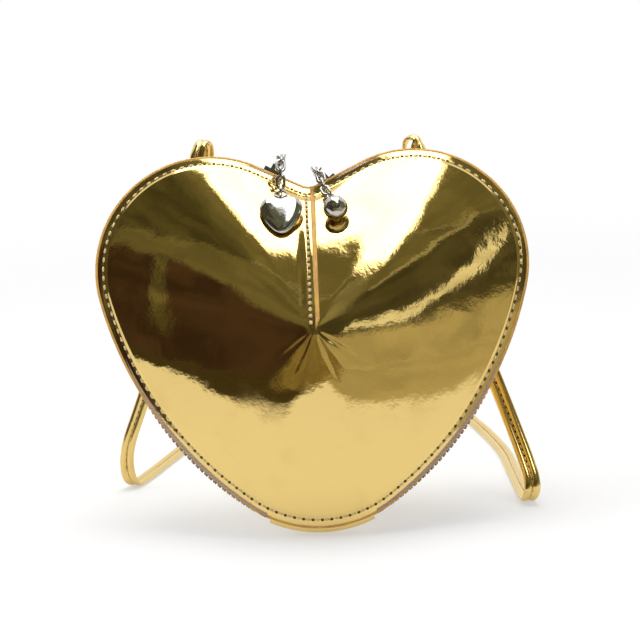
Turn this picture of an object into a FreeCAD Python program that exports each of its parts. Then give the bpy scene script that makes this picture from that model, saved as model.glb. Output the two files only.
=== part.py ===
import FreeCAD, Part
import math
import os

# Heart shaped purse, standing on its bottom gusset and leaning back on its strap.
# The purse is drawn upright: X across, Y from the front (-Y) to the back, Z up, with the
# zip's middle plane at Y = 0. Each piece is then leaned back onto the floor at Z = 0.

os.makedirs("parts", exist_ok=True)
doc = FreeCAD.newDocument("heart_purse")
sheet = doc.addObject("Spreadsheet::Sheet", "Sizes")

SIZES = {
    # stance
    "lean_angle": 20,
    "flat_depth": 0.6,
    # outline of the two panels, right half: lobe, side and tip arcs
    "lobe_across": 50.0,
    "lobe_up": 128.2,
    "lobe_radius": 56.1,
    "cleft_angle": 115.8,
    "side_angle": -14.1,
    "side_radius": 182.9,
    "tip_angle": -53.9,
    "cleft_reach": 3.5,
    # line of the zip, set inside the panel edge
    "track_in_across": 4.0,
    "track_in_up": 1.8,
    "track_in_radius": 1.3,
    "track_in_low": 0.78,
    "track_cleft_angle": 137,
    "track_side_angle": -7.1,
    "track_tip_angle": -57.8,
    "track_cleft_reach": 4.0,
    # panels, their foam boards and linings
    "rim_half": 5.5,
    "skin": 1.6,
    "margin": 5.5,
    "dome_height": 34,
    "apex_up": 92.5,
    "cone_share": 0.55,
    "cleft_fade_angle": 3,
    "board": 2.0,
    "lining": 0.6,
    "glue_gap": 0.15,
    # zip
    "tape": 0.6,
    "tape_flange": 5.5,
    "tape_edge": 1.2,
    "tooth_pitch": 2.85,
    "tooth_along": 1.1,
    "tooth_half": 1.4,
    "tooth_root": 3.2,
    "tooth_reach": 0.7,
    "tooth_slot_half": 0.4,
    "tooth_slot_end": 1.0,
    "stop_along": 3.0,
    "stop_half": 1.2,
    "stop_half_wide": 1.05,
    # bottom gusset
    "gusset_half": 25.5,
    "gusset_proud": 1.8,
    "gusset_under": 1.4,
    "fit_gap": 0.3,
    "end_gap": 0.7,
    # sliders
    "left_slider_angle": 121,
    "right_slider_angle": 131,
    "slider_long": 11,
    "slider_wide": 8.4,
    "slider_plate": 1.2,
    "slider_gap": 3.8,
    "lip_wide": 0.8,
    "lip_deep": 1.2,
    "diamond_long": 2.6,
    "diamond_wide": 2.0,
    "crown_long": 6.0,
    "crown_wide": 2.0,
    "crown_tall": 3.4,
    "crown_eye_radius": 1.1,
    "crown_eye_up": 1.7,
    # pulls
    "ring_radius": 4.0,
    "ring_wire": 1.3,
    "link_long": 7.2,
    "link_wide": 4.8,
    "link_wire": 1.1,
    "link_slack": 0.75,
    "charm_ring_radius": 2.9,
    "charm_ring_wire": 1.1,
    "ball_radius": 6.0,
    "ball_cap_radius": 2.0,
    "ball_cap_tall": 1.2,
    "eye_radius": 1.8,
    "eye_wire": 1.0,
    "eye_sink": 0.4,
    "heart_lobe_across": 5.0,
    "heart_lobe_up": 17.2,
    "heart_lobe_radius": 5.3,
    "heart_cleft_angle": 150,
    "heart_side_angle": -20,
    "heart_side_radius": 45.7,
    "heart_tip_angle": -42,
    "heart_cleft_reach": 0.35,
    "heart_half_thick": 2.6,
    # strap
    "strap_wide": 8.0,
    "strap_thick": 2.4,
    "strap_end_across": 55.0,
    "strap_end_rise": 1.0,
    "strap_end_foot": 9.0,
    "strap_end_angle": 29,
    "strap_span": 100.0,
}

for row, (name, value) in enumerate(SIZES.items(), start=1):
    sheet.set("A%d" % row, name)
    sheet.set("B%d" % row, str(value))
    sheet.setAlias("B%d" % row, name)
doc.recompute()


def size(name):
    """The value of a named size in the sheet."""
    return float(sheet.get(name))


def vector(x, y, z):
    """A point of the purse."""
    return FreeCAD.Vector(x, y, z)


def outward(angle):
    """The unit step across and up in the direction of an angle in degrees."""
    return math.cos(math.radians(angle)), math.sin(math.radians(angle))


class HeartLine:
    """A heart of tangent arcs about X = 0: a rounded cleft, slopes, lobes, sides and a tip."""

    def __init__(self, prefix, around=None):
        """Reads the arcs' sizes from the sheet, or their insets from the heart around it."""
        self.cleft_angle = size(prefix + "cleft_angle")
        self.side_angle = size(prefix + "side_angle")
        self.tip_angle = size(prefix + "tip_angle")
        self.cleft_reach = size(prefix + "cleft_reach")
        step = outward(self.side_angle)
        if around is None:
            self.across = size(prefix + "lobe_across")
            self.up = size(prefix + "lobe_up")
            self.radius = size(prefix + "lobe_radius")
            self.side_radius = size(prefix + "side_radius")
        else:
            self.across = around.across - size(prefix + "in_across")
            self.up = around.up - size(prefix + "in_up")
            self.radius = around.radius - size(prefix + "in_radius")
            low = around.tip_up - around.tip_radius + size(prefix + "in_low")
            tip = outward(self.tip_angle)
            slope = (1 + tip[1]) / tip[0]
            drop = low - self.up + self.across * slope + self.radius
            self.side_radius = self.radius - drop / (1 + step[1] - slope * step[0])
        gap = self.radius - self.side_radius
        self.side = (self.across + gap * step[0], self.up + gap * step[1])
        step = outward(self.tip_angle)
        self.tip_radius = self.side_radius + self.side[0] / step[0]
        self.tip_up = self.side[1] + (self.side_radius - self.tip_radius) * step[1]

    def arcs(self):
        """The right half's arcs from cleft to tip: centre, radius and two end angles."""
        lobe = ((self.across, self.up), self.radius, self.cleft_angle, self.side_angle)
        side = (self.side, self.side_radius, self.side_angle, self.tip_angle)
        tip = ((0, self.tip_up), self.tip_radius, self.tip_angle, -90)
        return [lobe, side, tip]

    def corners(self, offset, cleft_angle):
        """Points of the right half, moved out by offset: cleft to tip, with arc middles."""
        slope = math.radians(cleft_angle - 90)
        lobe, side, tip = self.arcs()
        step = outward(cleft_angle)
        start_x = self.across + self.radius * step[0]
        start_z = self.up + self.radius * step[1]
        cleft_radius = self.cleft_reach / math.sin(slope)
        foot_z = start_z - (start_x - self.cleft_reach) * math.tan(slope)
        cleft_z = foot_z + cleft_radius * math.cos(slope)
        inner = cleft_radius - offset
        points = [(0, cleft_z - inner)]
        points.append((inner * math.sin(slope), cleft_z - inner * math.cos(slope)))
        for (centre, radius, first, last) in [lobe[:2] + (cleft_angle, lobe[3]), side, tip]:
            for angle in (first, (first + last) / 2):
                step = outward(angle)
                reach = radius + offset
                points.append((centre[0] + reach * step[0], centre[1] + reach * step[1]))
        points.append((0, self.tip_up - self.tip_radius - offset))
        return points

    def wire(self, y, offset=0, share=1, about=0, cleft_angle=None):
        """The closed outline at depth y, scaled by a share about a height on X = 0."""
        found = self.corners(offset, cleft_angle or self.cleft_angle)
        right = [vector(x * share, y, about + (z - about) * share) for x, z in found]
        left = [vector(-p.x, p.y, p.z) for p in right]
        cleft, foot, top, lobe, waist, side, tip, low, bottom = range(9)

        def arc(first, middle, last):
            return Part.Arc(first, middle, last).toShape()

        whole = Part.Arc(left[foot], right[cleft], right[foot])
        middle = (whole.FirstParameter + whole.LastParameter) / 2
        edges = [
            whole.toShape(middle, whole.LastParameter),
            Part.makeLine(right[foot], right[top]),
            arc(right[top], right[lobe], right[waist]),
            arc(right[waist], right[side], right[tip]),
            arc(right[tip], right[bottom], left[tip]),
            arc(left[tip], left[side], left[waist]),
            arc(left[waist], left[lobe], left[top]),
            Part.makeLine(left[top], left[foot]),
            whole.toShape(whole.FirstParameter, middle),
        ]
        return Part.Wire(edges)

    def slab(self, first_y, last_y, offset=0):
        """The heart's plate between two depths."""
        face = Part.Face(self.wire(first_y, offset))
        return face.extrude(vector(0, last_y - first_y, 0))

    def ring(self, first_y, last_y, inner, outer):
        """The band between two offsets of the outline."""
        return self.slab(first_y, last_y, outer).cut(self.slab(first_y, last_y, inner))


LEAN_ANGLE = math.radians(size("lean_angle"))
RIM = size("rim_half")
SKIN = size("skin")
outline = HeartLine("")
track = HeartLine("track_", outline)


def seat():
    """Where the leaned gusset meets the floor: the back shift and the lift of the purse."""
    sink = -size("gusset_proud") - outline_low()
    low_z = sink * math.cos(LEAN_ANGLE) - RIM * math.sin(LEAN_ANGLE)
    floor_z = low_z + size("flat_depth")
    flat_y = (sink * math.cos(LEAN_ANGLE) - floor_z) / math.sin(LEAN_ANGLE)
    front = flat_y * math.cos(LEAN_ANGLE) + sink * math.sin(LEAN_ANGLE)
    back_z = (floor_z + RIM * math.sin(LEAN_ANGLE)) / math.cos(LEAN_ANGLE)
    back = RIM * math.cos(LEAN_ANGLE) + back_z * math.sin(LEAN_ANGLE)
    return (front + back) / 2, -floor_z


def outline_low():
    """How far the panels' lowest edge is below the purse's own zero height."""
    return -(outline.tip_up - outline.tip_radius)


SEAT_Y, SEAT_Z = seat()
LEAN = FreeCAD.Placement(
    vector(0, -SEAT_Y, SEAT_Z),
    FreeCAD.Rotation(vector(1, 0, 0), -size("lean_angle")),
)
FRONT, BACK = -1, 1
LEVEL_SHARES = (1, 0.86, 0.7, 0.52, 0.34, 0.17, 0.06)
LINE_COUNT = 72
nodes = {}


def add_shape(name, shape, local=FreeCAD.Placement()):
    """A piece whose form is built from the sheet's sizes, leaned back with the purse."""
    piece = doc.addObject("Part::Feature", name)
    piece.Shape = shape
    piece.Placement = LEAN.multiply(local).multiply(piece.Placement)
    nodes[name] = piece
    return piece


def bound(kind, name, **sizes):
    """A primitive whose properties follow expressions of the sheet's sizes."""
    piece = doc.addObject(kind, name)
    for prop, rule in sizes.items():
        piece.setExpression(prop.replace("__", "."), rule)
    return piece


def dome_line(base_y, side, share):
    """One level line of a dome: a smooth closed heart whose cleft fades towards the top."""
    fade = size("cleft_fade_angle")
    steep = outline.cleft_angle - 90 - fade
    cone_share = size("cone_share")
    rise = cone_share * (1 - share) + (1 - cone_share) * (1 - share ** 2)
    y = base_y + side * rise * size("dome_height")
    angle = 90 + fade + steep * share ** 4
    level = outline.wire(y, -size("margin"), share, size("apex_up"), angle)
    curve = Part.BSplineCurve()
    curve.interpolate(Points=level.discretize(Number=LINE_COUNT + 1)[:-1], PeriodicFlag=True)
    return Part.Wire(curve.toShape())


def dome(base_y, side):
    """The bulged surface of one half above a depth, closed near the tip of the panel's dart."""
    lines = [dome_line(base_y, side, share) for share in LEVEL_SHARES]
    return lines[0], Part.makeLoft(lines, False, False).Faces + [Part.Face(lines[-1])]


def closed(faces):
    """The solid inside faces that meet all round."""
    skin = Part.makeCompound(faces)
    skin.sewShape()
    solid = Part.Solid(skin.Shells[0] if skin.Shells else Part.Shell(skin.Faces))
    if solid.Volume < 0:
        solid.reverse()
    return solid


def rim_slab(extra):
    """A block through the zip's space, to trim what may not stand in it."""
    half = 2 * (outline.across + outline.radius)
    deep = RIM + extra
    return Part.makeBox(2 * half, 2 * deep, 2 * half, vector(-half, -deep, -half / 2))


def make_half(name, side):
    """One half of the purse: the outer panel, its foam board and its lining."""
    faces = []
    for level in (RIM + SKIN, RIM):
        base, cap = dome(side * level, side)
        margin = Part.Face(outline.wire(side * level)).cut(Part.Face(base))
        faces += cap + margin.Faces
    edge = outline.wire(side * RIM).extrude(vector(0, side * SKIN, 0))
    add_shape(name + "_panel", closed(faces + edge.Faces))
    level = RIM
    for layer in ("board", "lining"):
        top = level - size("glue_gap")
        level = top - size(layer)
        base, outer = dome(side * top, side)
        wall = base.extrude(vector(0, side * (level - top), 0))
        shell = closed(outer + dome(side * level, side)[1] + wall.Faces)
        add_shape(name + "_" + layer, shell.cut(rim_slab(size("glue_gap"))))


make_half("back", BACK)
make_half("front", FRONT)


def track_length():
    """The lengths of the zip line's arcs on one side, from cleft to tip."""
    return [radius * math.radians(first - last) for _, radius, first, last in track.arcs()]


def track_place(along, side):
    """The place on the zip line at a length from its cleft: seen with X_along and Z_out."""
    for (centre, radius, first, last), length in zip(track.arcs(), track_length()):
        if along <= length:
            break
        along -= length
    angle = first - math.degrees(along / radius)
    step = outward(angle)
    point = vector(side * (centre[0] + radius * step[0]), 0, centre[1] + radius * step[1])
    turn = FreeCAD.Rotation(vector(0, 1, 0), side * (90 - angle))
    return FreeCAD.Placement(point, turn), point


def slider_along(angle):
    """How far down the zip line a slider at an angle of the lobe is."""
    return track.radius * math.radians(track.cleft_angle - angle)


RIGHT, LEFT = 1, -1
SLIDER_ANGLES = {LEFT: size("left_slider_angle"), RIGHT: size("right_slider_angle")}
ZIP_END = size("gusset_half") + size("end_gap")


def bottom_gap():
    """The block that clears the zip away where the gusset is."""
    deep = 2 * RIM
    return Part.makeBox(
        2 * ZIP_END, 2 * deep, track.tip_radius, vector(-ZIP_END, -deep, -track.tip_radius / 2)
    )


def make_tape(name, side):
    """A zip tape: sewn flange under the panel's margin and a web out to the teeth."""
    half = size("tape") / 2
    flange = track.ring(side * RIM, side * (RIM - size("tape")), -size("tape_flange"), half)
    web = track.ring(side * RIM, side * size("tape_edge"), -half, half)
    add_shape(name, flange.fuse(web).removeSplitter().cut(bottom_gap()))


def tooth(side):
    """One tooth at zero: a U that clamps the web, with its head across the middle."""
    half, slot = size("tooth_half"), size("tooth_slot_half")
    root, head = side * size("tooth_root"), -side * size("tooth_reach")
    end = side * size("tooth_slot_end")
    back = -size("tooth_along") / 2
    profile = [
        (-half, root), (-slot, root), (-slot, end), (slot, end),
        (slot, root), (half, root), (half, head), (-half, head),
    ]
    points = [vector(back, y, z) for z, y in profile]
    face = Part.Face(Part.makePolygon(points + points[:1]))
    return face.extrude(vector(size("tooth_along"), 0, 0))


def stop_middle(hand):
    """How far along the track the stop at the gusset's end has its middle."""
    along = sum(track_length()) - size("fit_gap")
    point = track_place(along, hand)[1]
    while abs(point.x) < ZIP_END + size("stop_along") / 2 + size("fit_gap"):
        along -= size("fit_gap")
        point = track_place(along, hand)[1]
    return along


def make_teeth(name, side, shift_share):
    """One row of teeth on both sides of the heart, from the sliders to the stops."""
    teeth = []
    pattern = tooth(side)
    pitch = size("tooth_pitch")
    for hand in (LEFT, RIGHT):
        last = stop_middle(hand) - (size("stop_along") + size("tooth_along")) / 2 - pitch
        along = slider_along(SLIDER_ANGLES[hand]) + shift_share * pitch
        while along < last:
            place, point = track_place(along, hand)
            along += pitch
            piece = pattern.copy()
            piece.Placement = place
            teeth.append(piece)
    add_shape(name, Part.makeCompound(teeth))


for name, side, shift_share in (("back", BACK, 0), ("front", FRONT, 0.5)):
    make_tape(name + "_zip_tape", side)
    make_teeth(name + "_zip_teeth", side, shift_share)


def end_stops():
    """The two metal stops at the gusset's ends, between the tapes' edges."""
    blocks = []
    for hand in (LEFT, RIGHT):
        place, point = track_place(stop_middle(hand), hand)
        half, wide = size("stop_half"), size("stop_half_wide")
        corner = vector(-size("stop_along") / 2, -wide, -half)
        block = Part.makeBox(size("stop_along"), 2 * wide, 2 * half, corner)
        block.Placement = place
        blocks.append(block)
    return Part.makeCompound(blocks)


add_shape("zip_end_stops", end_stops())


def gusset():
    """The bottom strip between the halves, cut level where it stands on the floor."""
    front_y = -RIM + size("fit_gap")
    band = outline.ring(front_y, RIM, -size("gusset_under"), size("gusset_proud"))
    half = size("gusset_half")
    keep = Part.makeBox(
        2 * half, 4 * RIM, outline.tip_radius, vector(-half, -2 * RIM, -outline.tip_radius / 2)
    )
    band = band.common(keep)
    floor = Part.makeBox(4 * half, 4 * half, half, vector(-2 * half, -2 * half, -half))
    floor.Placement = LEAN.inverse()
    return band.cut(floor)


add_shape("bottom_gusset", gusset())


def slider(name):
    """A zip slider: two lipped plates joined by the diamond at its nose, and its crown."""
    long, wide, gap = "Sizes.slider_long", "Sizes.slider_wide", "Sizes.slider_gap"
    plate, lip, deep = "Sizes.slider_plate", "Sizes.lip_wide", "Sizes.lip_deep"
    parts = []

    def block(label, length, width, height, x, y, z):
        parts.append(bound(
            "Part::Box", name + "_" + label, Length=length, Width=width, Height=height,
            Placement__Base__x=x, Placement__Base__y=y, Placement__Base__z=z,
        ))

    back, edge = "-%s / 2" % long, "-%s / 2" % wide
    block("outer", long, wide, plate, back, edge, "%s / 2" % gap)
    block("inner", long, wide, plate, back, edge, "-%s / 2 - %s" % (gap, plate))
    for label, y in (("front", edge), ("rear", "%s / 2 - %s" % (wide, lip))):
        block("outer_" + label, long, lip, deep, back, y, "%s / 2 - %s" % (gap, deep))
        block("inner_" + label, long, lip, deep, back, y, "-%s / 2" % gap)
    block("diamond", "Sizes.diamond_long", "Sizes.diamond_wide", gap, back,
          "-Sizes.diamond_wide / 2", "-%s / 2" % gap)
    block("crown", "Sizes.crown_long", "Sizes.crown_wide", "Sizes.crown_tall",
          "-Sizes.crown_long / 2", "-Sizes.crown_wide / 2", "%s / 2 + %s" % (gap, plate))
    body = doc.addObject("Part::MultiFuse", name + "_body")
    body.Shapes = parts
    eye = doc.addObject("Part::Cylinder", name + "_eye")
    eye.Placement.Rotation = FreeCAD.Rotation(vector(1, 0, 0), 90)
    eye.setExpression("Radius", "Sizes.crown_eye_radius")
    eye.setExpression("Height", "2 * Sizes.crown_wide")
    eye.setExpression("Placement.Base.y", "Sizes.crown_wide")
    eye.setExpression("Placement.Base.z", "%s / 2 + %s + Sizes.crown_eye_up" % (gap, plate))
    cut = doc.addObject("Part::Cut", name)
    cut.Base = body
    cut.Tool = eye
    return cut


def slider_place(hand):
    """Where a slider sits at rest, with its nose towards the cleft."""
    place, _ = track_place(slider_along(SLIDER_ANGLES[hand]), hand)
    if hand == LEFT:
        place = place.multiply(FreeCAD.Placement(vector(0, 0, 0), FreeCAD.Rotation(180, 0, 0)))
    return place


def ring(name, radius, wire):
    """A round ring about its own Z axis."""
    return bound("Part::Torus", name, Radius1="Sizes." + radius, Radius2="Sizes.%s / 2" % wire)


def link():
    """One oval chain link, long along X and flat on Z."""
    wire = size("link_wire") / 2
    bend = size("link_wide") / 2 - wire
    run = size("link_long") / 2 - wire - bend
    first = [vector(-run, bend, 0), vector(run, bend, 0)]
    last = [vector(run, -bend, 0), vector(-run, -bend, 0)]
    path = Part.Wire([
        Part.makeLine(*first),
        Part.Arc(first[1], vector(run + bend, 0, 0), last[0]).toShape(),
        Part.makeLine(*last),
        Part.Arc(last[1], vector(-run - bend, 0, 0), first[0]).toShape(),
    ])
    section = Part.Wire(Part.makeCircle(wire, first[0], vector(1, 0, 0)))
    return path.makePipeShell([section], True, False)


def chain(points, axis):
    """Links that join a row of points, each turned a quarter against the last one."""
    pattern = link()
    links = []
    for number, (first, last) in enumerate(zip(points, points[1:])):
        aim = last - first
        fade_share = number / len(points)
        across = axis * (1 - fade_share) + vector(1, 0, 0) * fade_share
        turn = FreeCAD.Rotation(aim, across, aim.cross(across), "XYZ")
        roll = FreeCAD.Rotation(vector(1, 0, 0), 90 * (number % 2))
        piece = pattern.copy()
        piece.Placement = FreeCAD.Placement((first + last) / 2, turn.multiply(roll))
        links.append(piece)
    return Part.makeCompound(links)


CROWN_EYE = size("slider_gap") / 2 + size("slider_plate") + size("crown_eye_up")
ring_up = CROWN_EYE + size("ring_radius")
upright = FreeCAD.Rotation(vector(0, 1, 0), 90)

# How each pull's chain hangs from its ring: the way that each joint is from the last one,
# where 0 is down and more is to the right, and its share of a link's width off the panel.
CHAIN_ANGLES = {LEFT: (-172, -3, -1.4, -1.4, -1.4, -1.5), RIGHT: (123, 16.5, 13.3, 14.4, 23.4)}
CHAIN_SHARES = {
    LEFT: (0.038, 0.746, 1.056, 1.083, 0.94, 0.74),
    RIGHT: (0.038, 0.746, 1.11, 1.42, 1.167),
}
# The same for each charm's own eye, and how much more than the panel the charm leans out.
EYE_ANGLES = {LEFT: 0, RIGHT: 37.6}
EYE_SHARES = {LEFT: 1.0, RIGHT: 1.354}
LIE_ANGLES = {LEFT: 0, RIGHT: 8}
SWING_ANGLES = {LEFT: 0, RIGHT: -11}
TRY_COUNT = 8


def panel_front(x, z):
    """The depth of the front panel's face at a place, or of its rim where it has none."""
    rim = -RIM - SKIN
    ahead = LEAN.multVec(vector(x, 2 * (rim - size("dome_height")), z))
    line = Part.makeLine(ahead, LEAN.multVec(vector(x, 0, z)))
    found = line.common(nodes["front_panel"].Shape)
    return min([LEAN.inverse().multVec(end.Point).y for end in found.Vertexes] + [rim])


def next_joint(last, reach, angle, share):
    """The point at a reach from the last one that heads at an angle and clears the panel."""
    across, rise = outward(angle - 90)
    near, far = 0, reach
    for _ in range(TRY_COUNT):
        step = (near + far) / 2
        x, z = last.x + step * across, last.z + step * rise
        y = panel_front(x, z) - share * size("link_wide")
        if math.hypot(step, y - last.y) > reach:
            far = step
        else:
            near = step
    return vector(x, y, z)


def ring_place(first, last, flat):
    """A ring's place between two points on it, flat across the purse or on its edge."""
    aim = last - first
    axis = aim.cross(vector(1, 0, 0))
    if not flat:
        axis = aim.cross(axis)
    return FreeCAD.Placement((first + last) / 2, FreeCAD.Rotation(vector(0, 0, 1), axis))


def eye_ring(name, up):
    """The small fixed eye at a charm's top, open along X."""
    eye = ring(name, "eye_radius", "eye_wire")
    eye.Placement.Rotation = upright
    eye.setExpression("Placement.Base.z", up)
    return eye


def heart_charm(name):
    """The puffed metal heart, its tip at zero and its cleft up, with its eye."""
    line = HeartLine("heart_")
    thick = size("heart_half_thick")
    middle = line.up - line.radius / 2
    puffs = []
    for side in (FRONT, BACK):
        sections = []
        for share in (1, 0.93, 0.78, 0.55, 0.25):
            y = side * thick * math.sqrt(1 - share ** 2)
            level = line.wire(y, 0, share, middle)
            curve = Part.BSplineCurve()
            points = level.discretize(Number=LINE_COUNT + 1)[:-1]
            curve.interpolate(Points=points, PeriodicFlag=True)
            sections.append(Part.Wire(curve.toShape()))
        puffs += Part.makeLoft(sections, False, False).Faces + [Part.Face(sections[-1])]
    body = doc.addObject("Part::Feature", name + "_body")
    body.Shape = closed(puffs)
    cleft_up = line.corners(0, line.cleft_angle)[0][1]
    eye_up = cleft_up + size("eye_radius") + size("eye_wire") / 2 - size("eye_sink")
    eye = ring(name + "_eye", "eye_radius", "eye_wire")
    eye.Placement = FreeCAD.Placement(vector(0, 0, eye_up), upright)
    charm = doc.addObject("Part::MultiFuse", name)
    charm.Shapes = [body, eye]
    return charm, eye_up


def ball_charm(name):
    """The metal ball about zero, with its cap and eye on top."""
    ball = bound("Part::Sphere", name + "_ball", Radius="Sizes.ball_radius")
    cap = bound(
        "Part::Cylinder", name + "_cap", Radius="Sizes.ball_cap_radius",
        Height="2 * Sizes.ball_cap_tall",
        Placement__Base__z="Sizes.ball_radius - Sizes.ball_cap_tall",
    )
    rise = "Sizes.ball_radius + Sizes.ball_cap_tall + Sizes.eye_radius"
    eye = eye_ring(name + "_eye", rise + " + Sizes.eye_wire / 2 - Sizes.eye_sink")
    charm = doc.addObject("Part::MultiFuse", name)
    charm.Shapes = [ball, cap, eye]
    eye_up = size("ball_radius") + size("ball_cap_tall") + size("eye_radius")
    return charm, eye_up + size("eye_wire") / 2 - size("eye_sink")


PULL_NAMES = {LEFT: "left", RIGHT: "right"}
CHARMS = {LEFT: ("heart_charm", heart_charm), RIGHT: ("ball_charm", ball_charm)}
for hand, prefix in PULL_NAMES.items():
    place = slider_place(hand)
    nodes[prefix + "_slider"] = slider(prefix + "_slider")
    nodes[prefix + "_slider"].Placement = LEAN.multiply(place)
    nodes[prefix + "_pull_ring"] = ring(prefix + "_pull_ring", "ring_radius", "ring_wire")
    on_slider = place.multiply(FreeCAD.Placement(vector(0, 0, ring_up), upright))
    nodes[prefix + "_pull_ring"].Placement = LEAN.multiply(on_slider)
    axis = on_slider.Rotation.multVec(vector(0, 0, 1))
    if axis.x < 0:
        axis = -axis
    bite = (size("link_wire") + size("link_slack")) / 2
    front = on_slider.Base + vector(0, bite - size("ring_radius"), 0)
    joints = [front]
    pitch = size("link_long") - 2 * size("link_wire") - size("link_slack")
    for angle, share in zip(CHAIN_ANGLES[hand], CHAIN_SHARES[hand]):
        joints.append(next_joint(joints[-1], pitch, angle, share))
    add_shape(prefix + "_pull_chain", chain(joints, axis))
    charm_name, make_charm = CHARMS[hand]
    charm, eye_up = make_charm(charm_name)
    reach = 2 * size("charm_ring_radius") + size("fit_gap") - bite
    eye = next_joint(joints[-1], reach, EYE_ANGLES[hand], EYE_SHARES[hand])
    fall = panel_front(eye.x, eye.z) - panel_front(eye.x, eye.z - eye_up)
    lie_angle = math.degrees(math.atan2(fall, eye_up)) + LIE_ANGLES[hand]
    turn = FreeCAD.Rotation(vector(1, 0, 0), -lie_angle)
    turn = turn.multiply(FreeCAD.Rotation(vector(0, 1, 0), SWING_ANGLES[hand]))
    flat = len(joints) % 2 == 1
    if not flat:
        turn = turn.multiply(FreeCAD.Rotation(vector(0, 0, 1), 90))
    print(prefix, "last joint", joints[-1], "eye", eye, "lie angle", round(lie_angle, 2))
    hang = FreeCAD.Placement(eye - turn.multVec(vector(0, 0, eye_up)), turn)
    charm.Placement = LEAN.multiply(hang)
    nodes[charm_name] = charm
    aim = (joints[-1] - eye).normalize()
    low = eye + aim * size("fit_gap")
    high = low + aim * 2 * size("charm_ring_radius")
    loop = ring(prefix + "_charm_ring", "charm_ring_radius", "charm_ring_wire")
    loop.Placement = LEAN.multiply(ring_place(high, low, flat))
    nodes[prefix + "_charm_ring"] = loop


def strap_end(hand):
    """A strap end sewn flat on the back panel's margin and bent onto its dome."""
    across = size("strap_end_across")
    step = math.sqrt(outline.radius ** 2 - (across - outline.across) ** 2)
    top = outline.up + step + size("strap_end_rise")
    edge = outline.up + step - size("margin")
    face = RIM + SKIN + size("fit_gap")
    bend = math.radians(size("strap_end_angle"))
    foot, thick = size("strap_end_foot"), size("strap_thick")
    low_y = face + foot * math.sin(bend)
    low_z = edge - foot * math.cos(bend)
    profile = [
        (face, top), (face, edge), (low_y, low_z),
        (low_y + thick * math.cos(bend), low_z + thick * math.sin(bend)),
        (face + thick, edge + thick * math.tan(bend / 2)), (face + thick, top),
    ]
    left = hand * across - size("strap_wide") / 2
    points = [vector(left, y, z) for y, z in profile]
    sewn = Part.Face(Part.makePolygon(points + points[:1]))
    middle = LEAN.multVec(vector(hand * across, face + thick / 2, top))
    return sewn.extrude(vector(size("strap_wide"), 0, 0)), middle


# The strap's way in the leaned purse's own frame: up from its left end, over and down to the
# floor, back along the floor, round behind the purse, and the same way up on the right.
# Each point is given in shares of the strap's span, with the direction of its width there.
LEFT_SHARES = (
    ((-0.545, 0.704, 1.818), (0.75, -0.66, 0)), ((-0.496, 0.774, 1.824), (0.75, -0.66, 0)),
    ((-0.51, 0.798, 1.66), (0.85, -0.5, 0)), ((-0.57, 0.808, 1.42), (0.92, -0.3, 0.1)),
    ((-0.64, 0.815, 1.18), (0.95, -0.2, 0.2)), ((-0.78, 0.82, 0.82), (0.93, 0, 0.35)),
    ((-0.91, 0.825, 0.46), (0.9, 0, 0.4)), ((-1.015, 0.83, 0.2), (0.95, 0, 0.3)),
    ((-0.995, 0.825, 0.014), (0.97, -0.2, 0)), ((-0.92, 1.01, 0.014), (0.95, -0.3, 0)),
    ((-0.823, 1.31, 0.014), (0.95, -0.3, 0)), ((-0.7, 1.67, 0.019), (0.95, -0.3, 0)),
)
LOOP_SHARES = (
    ((-0.6, 2.08, 0.033), (0.9, -0.25, 0.35)), ((-0.5, 2.58, 0.046), (0.5, -0.3, 0.85)),
    ((-0.28, 3.02, 0.042), (0, 0, 1)), ((0.08, 3.22, 0.042), (0, 0, 1)),
    ((0.46, 3.04, 0.045), (-0.3, -0.4, 0.9)), ((0.68, 2.58, 0.04), (-0.8, -0.3, 0.5)),
)
RIGHT_SHARES = (
    ((0.81, 2.06, 0.021), (-0.97, -0.15, 0.1)), ((0.92, 1.63, 0.014), (-0.98, -0.18, 0)),
    ((0.993, 1.2, 0.014), (-1, -0.08, 0)), ((1.005, 0.88, 0.014), (-1, 0, 0)),
    ((1.016, 0.62, 0.014), (-1, 0, 0)), ((1.026, 0.44, 0.014), (-1, 0, 0)),
    ((1.033, 0.305, 0.014), (-1, 0, 0)), ((1.058, 0.275, 0.115), (-0.97, 0, -0.2)),
    ((1.02, 0.41, 0.24), (-0.95, 0, -0.3)), ((0.92, 0.6, 0.52), (-0.95, 0, -0.3)),
    ((0.8, 0.72, 0.84), (-0.93, 0.1, -0.35)), ((0.67, 0.79, 1.18), (-0.93, 0.1, -0.35)),
    ((0.55, 0.8, 1.48), (-0.8, 0.5, -0.25)), ((0.48, 0.78, 1.68), (-0.3, 0.95, 0)),
    ((0.49, 0.75, 1.805), (0.3, 0.95, 0)), ((0.56, 0.706, 1.805), (0.36, 0.93, 0)),
)
ARC_COUNT = 4
BEND_SHARE = 0.45


def strap_stations(way):
    """Places along straight runs joined by tangent arcs: middle, direction and width."""
    stations = []
    radii = []
    for number, (point, across) in enumerate(way):
        if number in (0, len(way) - 1):
            near = way[1][0] - point if number == 0 else point - way[-2][0]
            stations.append((point, near.normalize(), across))
            continue
        back, ahead = point - way[number - 1][0], way[number + 1][0] - point
        reach = BEND_SHARE * min(back.Length, ahead.Length)
        turn = back.getAngle(ahead)
        radius = reach / math.tan(turn / 2)
        radii.append(radius)
        back.normalize()
        ahead.normalize()
        centre = point + (ahead - back).normalize() * (radius / math.cos(turn / 2))
        axis = back.cross(ahead)
        start = point - back * reach
        for step in range(ARC_COUNT + 1):
            spin = FreeCAD.Rotation(axis, math.degrees(turn) * step / ARC_COUNT)
            stations.append((centre + spin.multVec(start - centre), spin.multVec(back), across))
    print("strap bend radii", [round(radius, 1) for radius in radii])
    return stations


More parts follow.
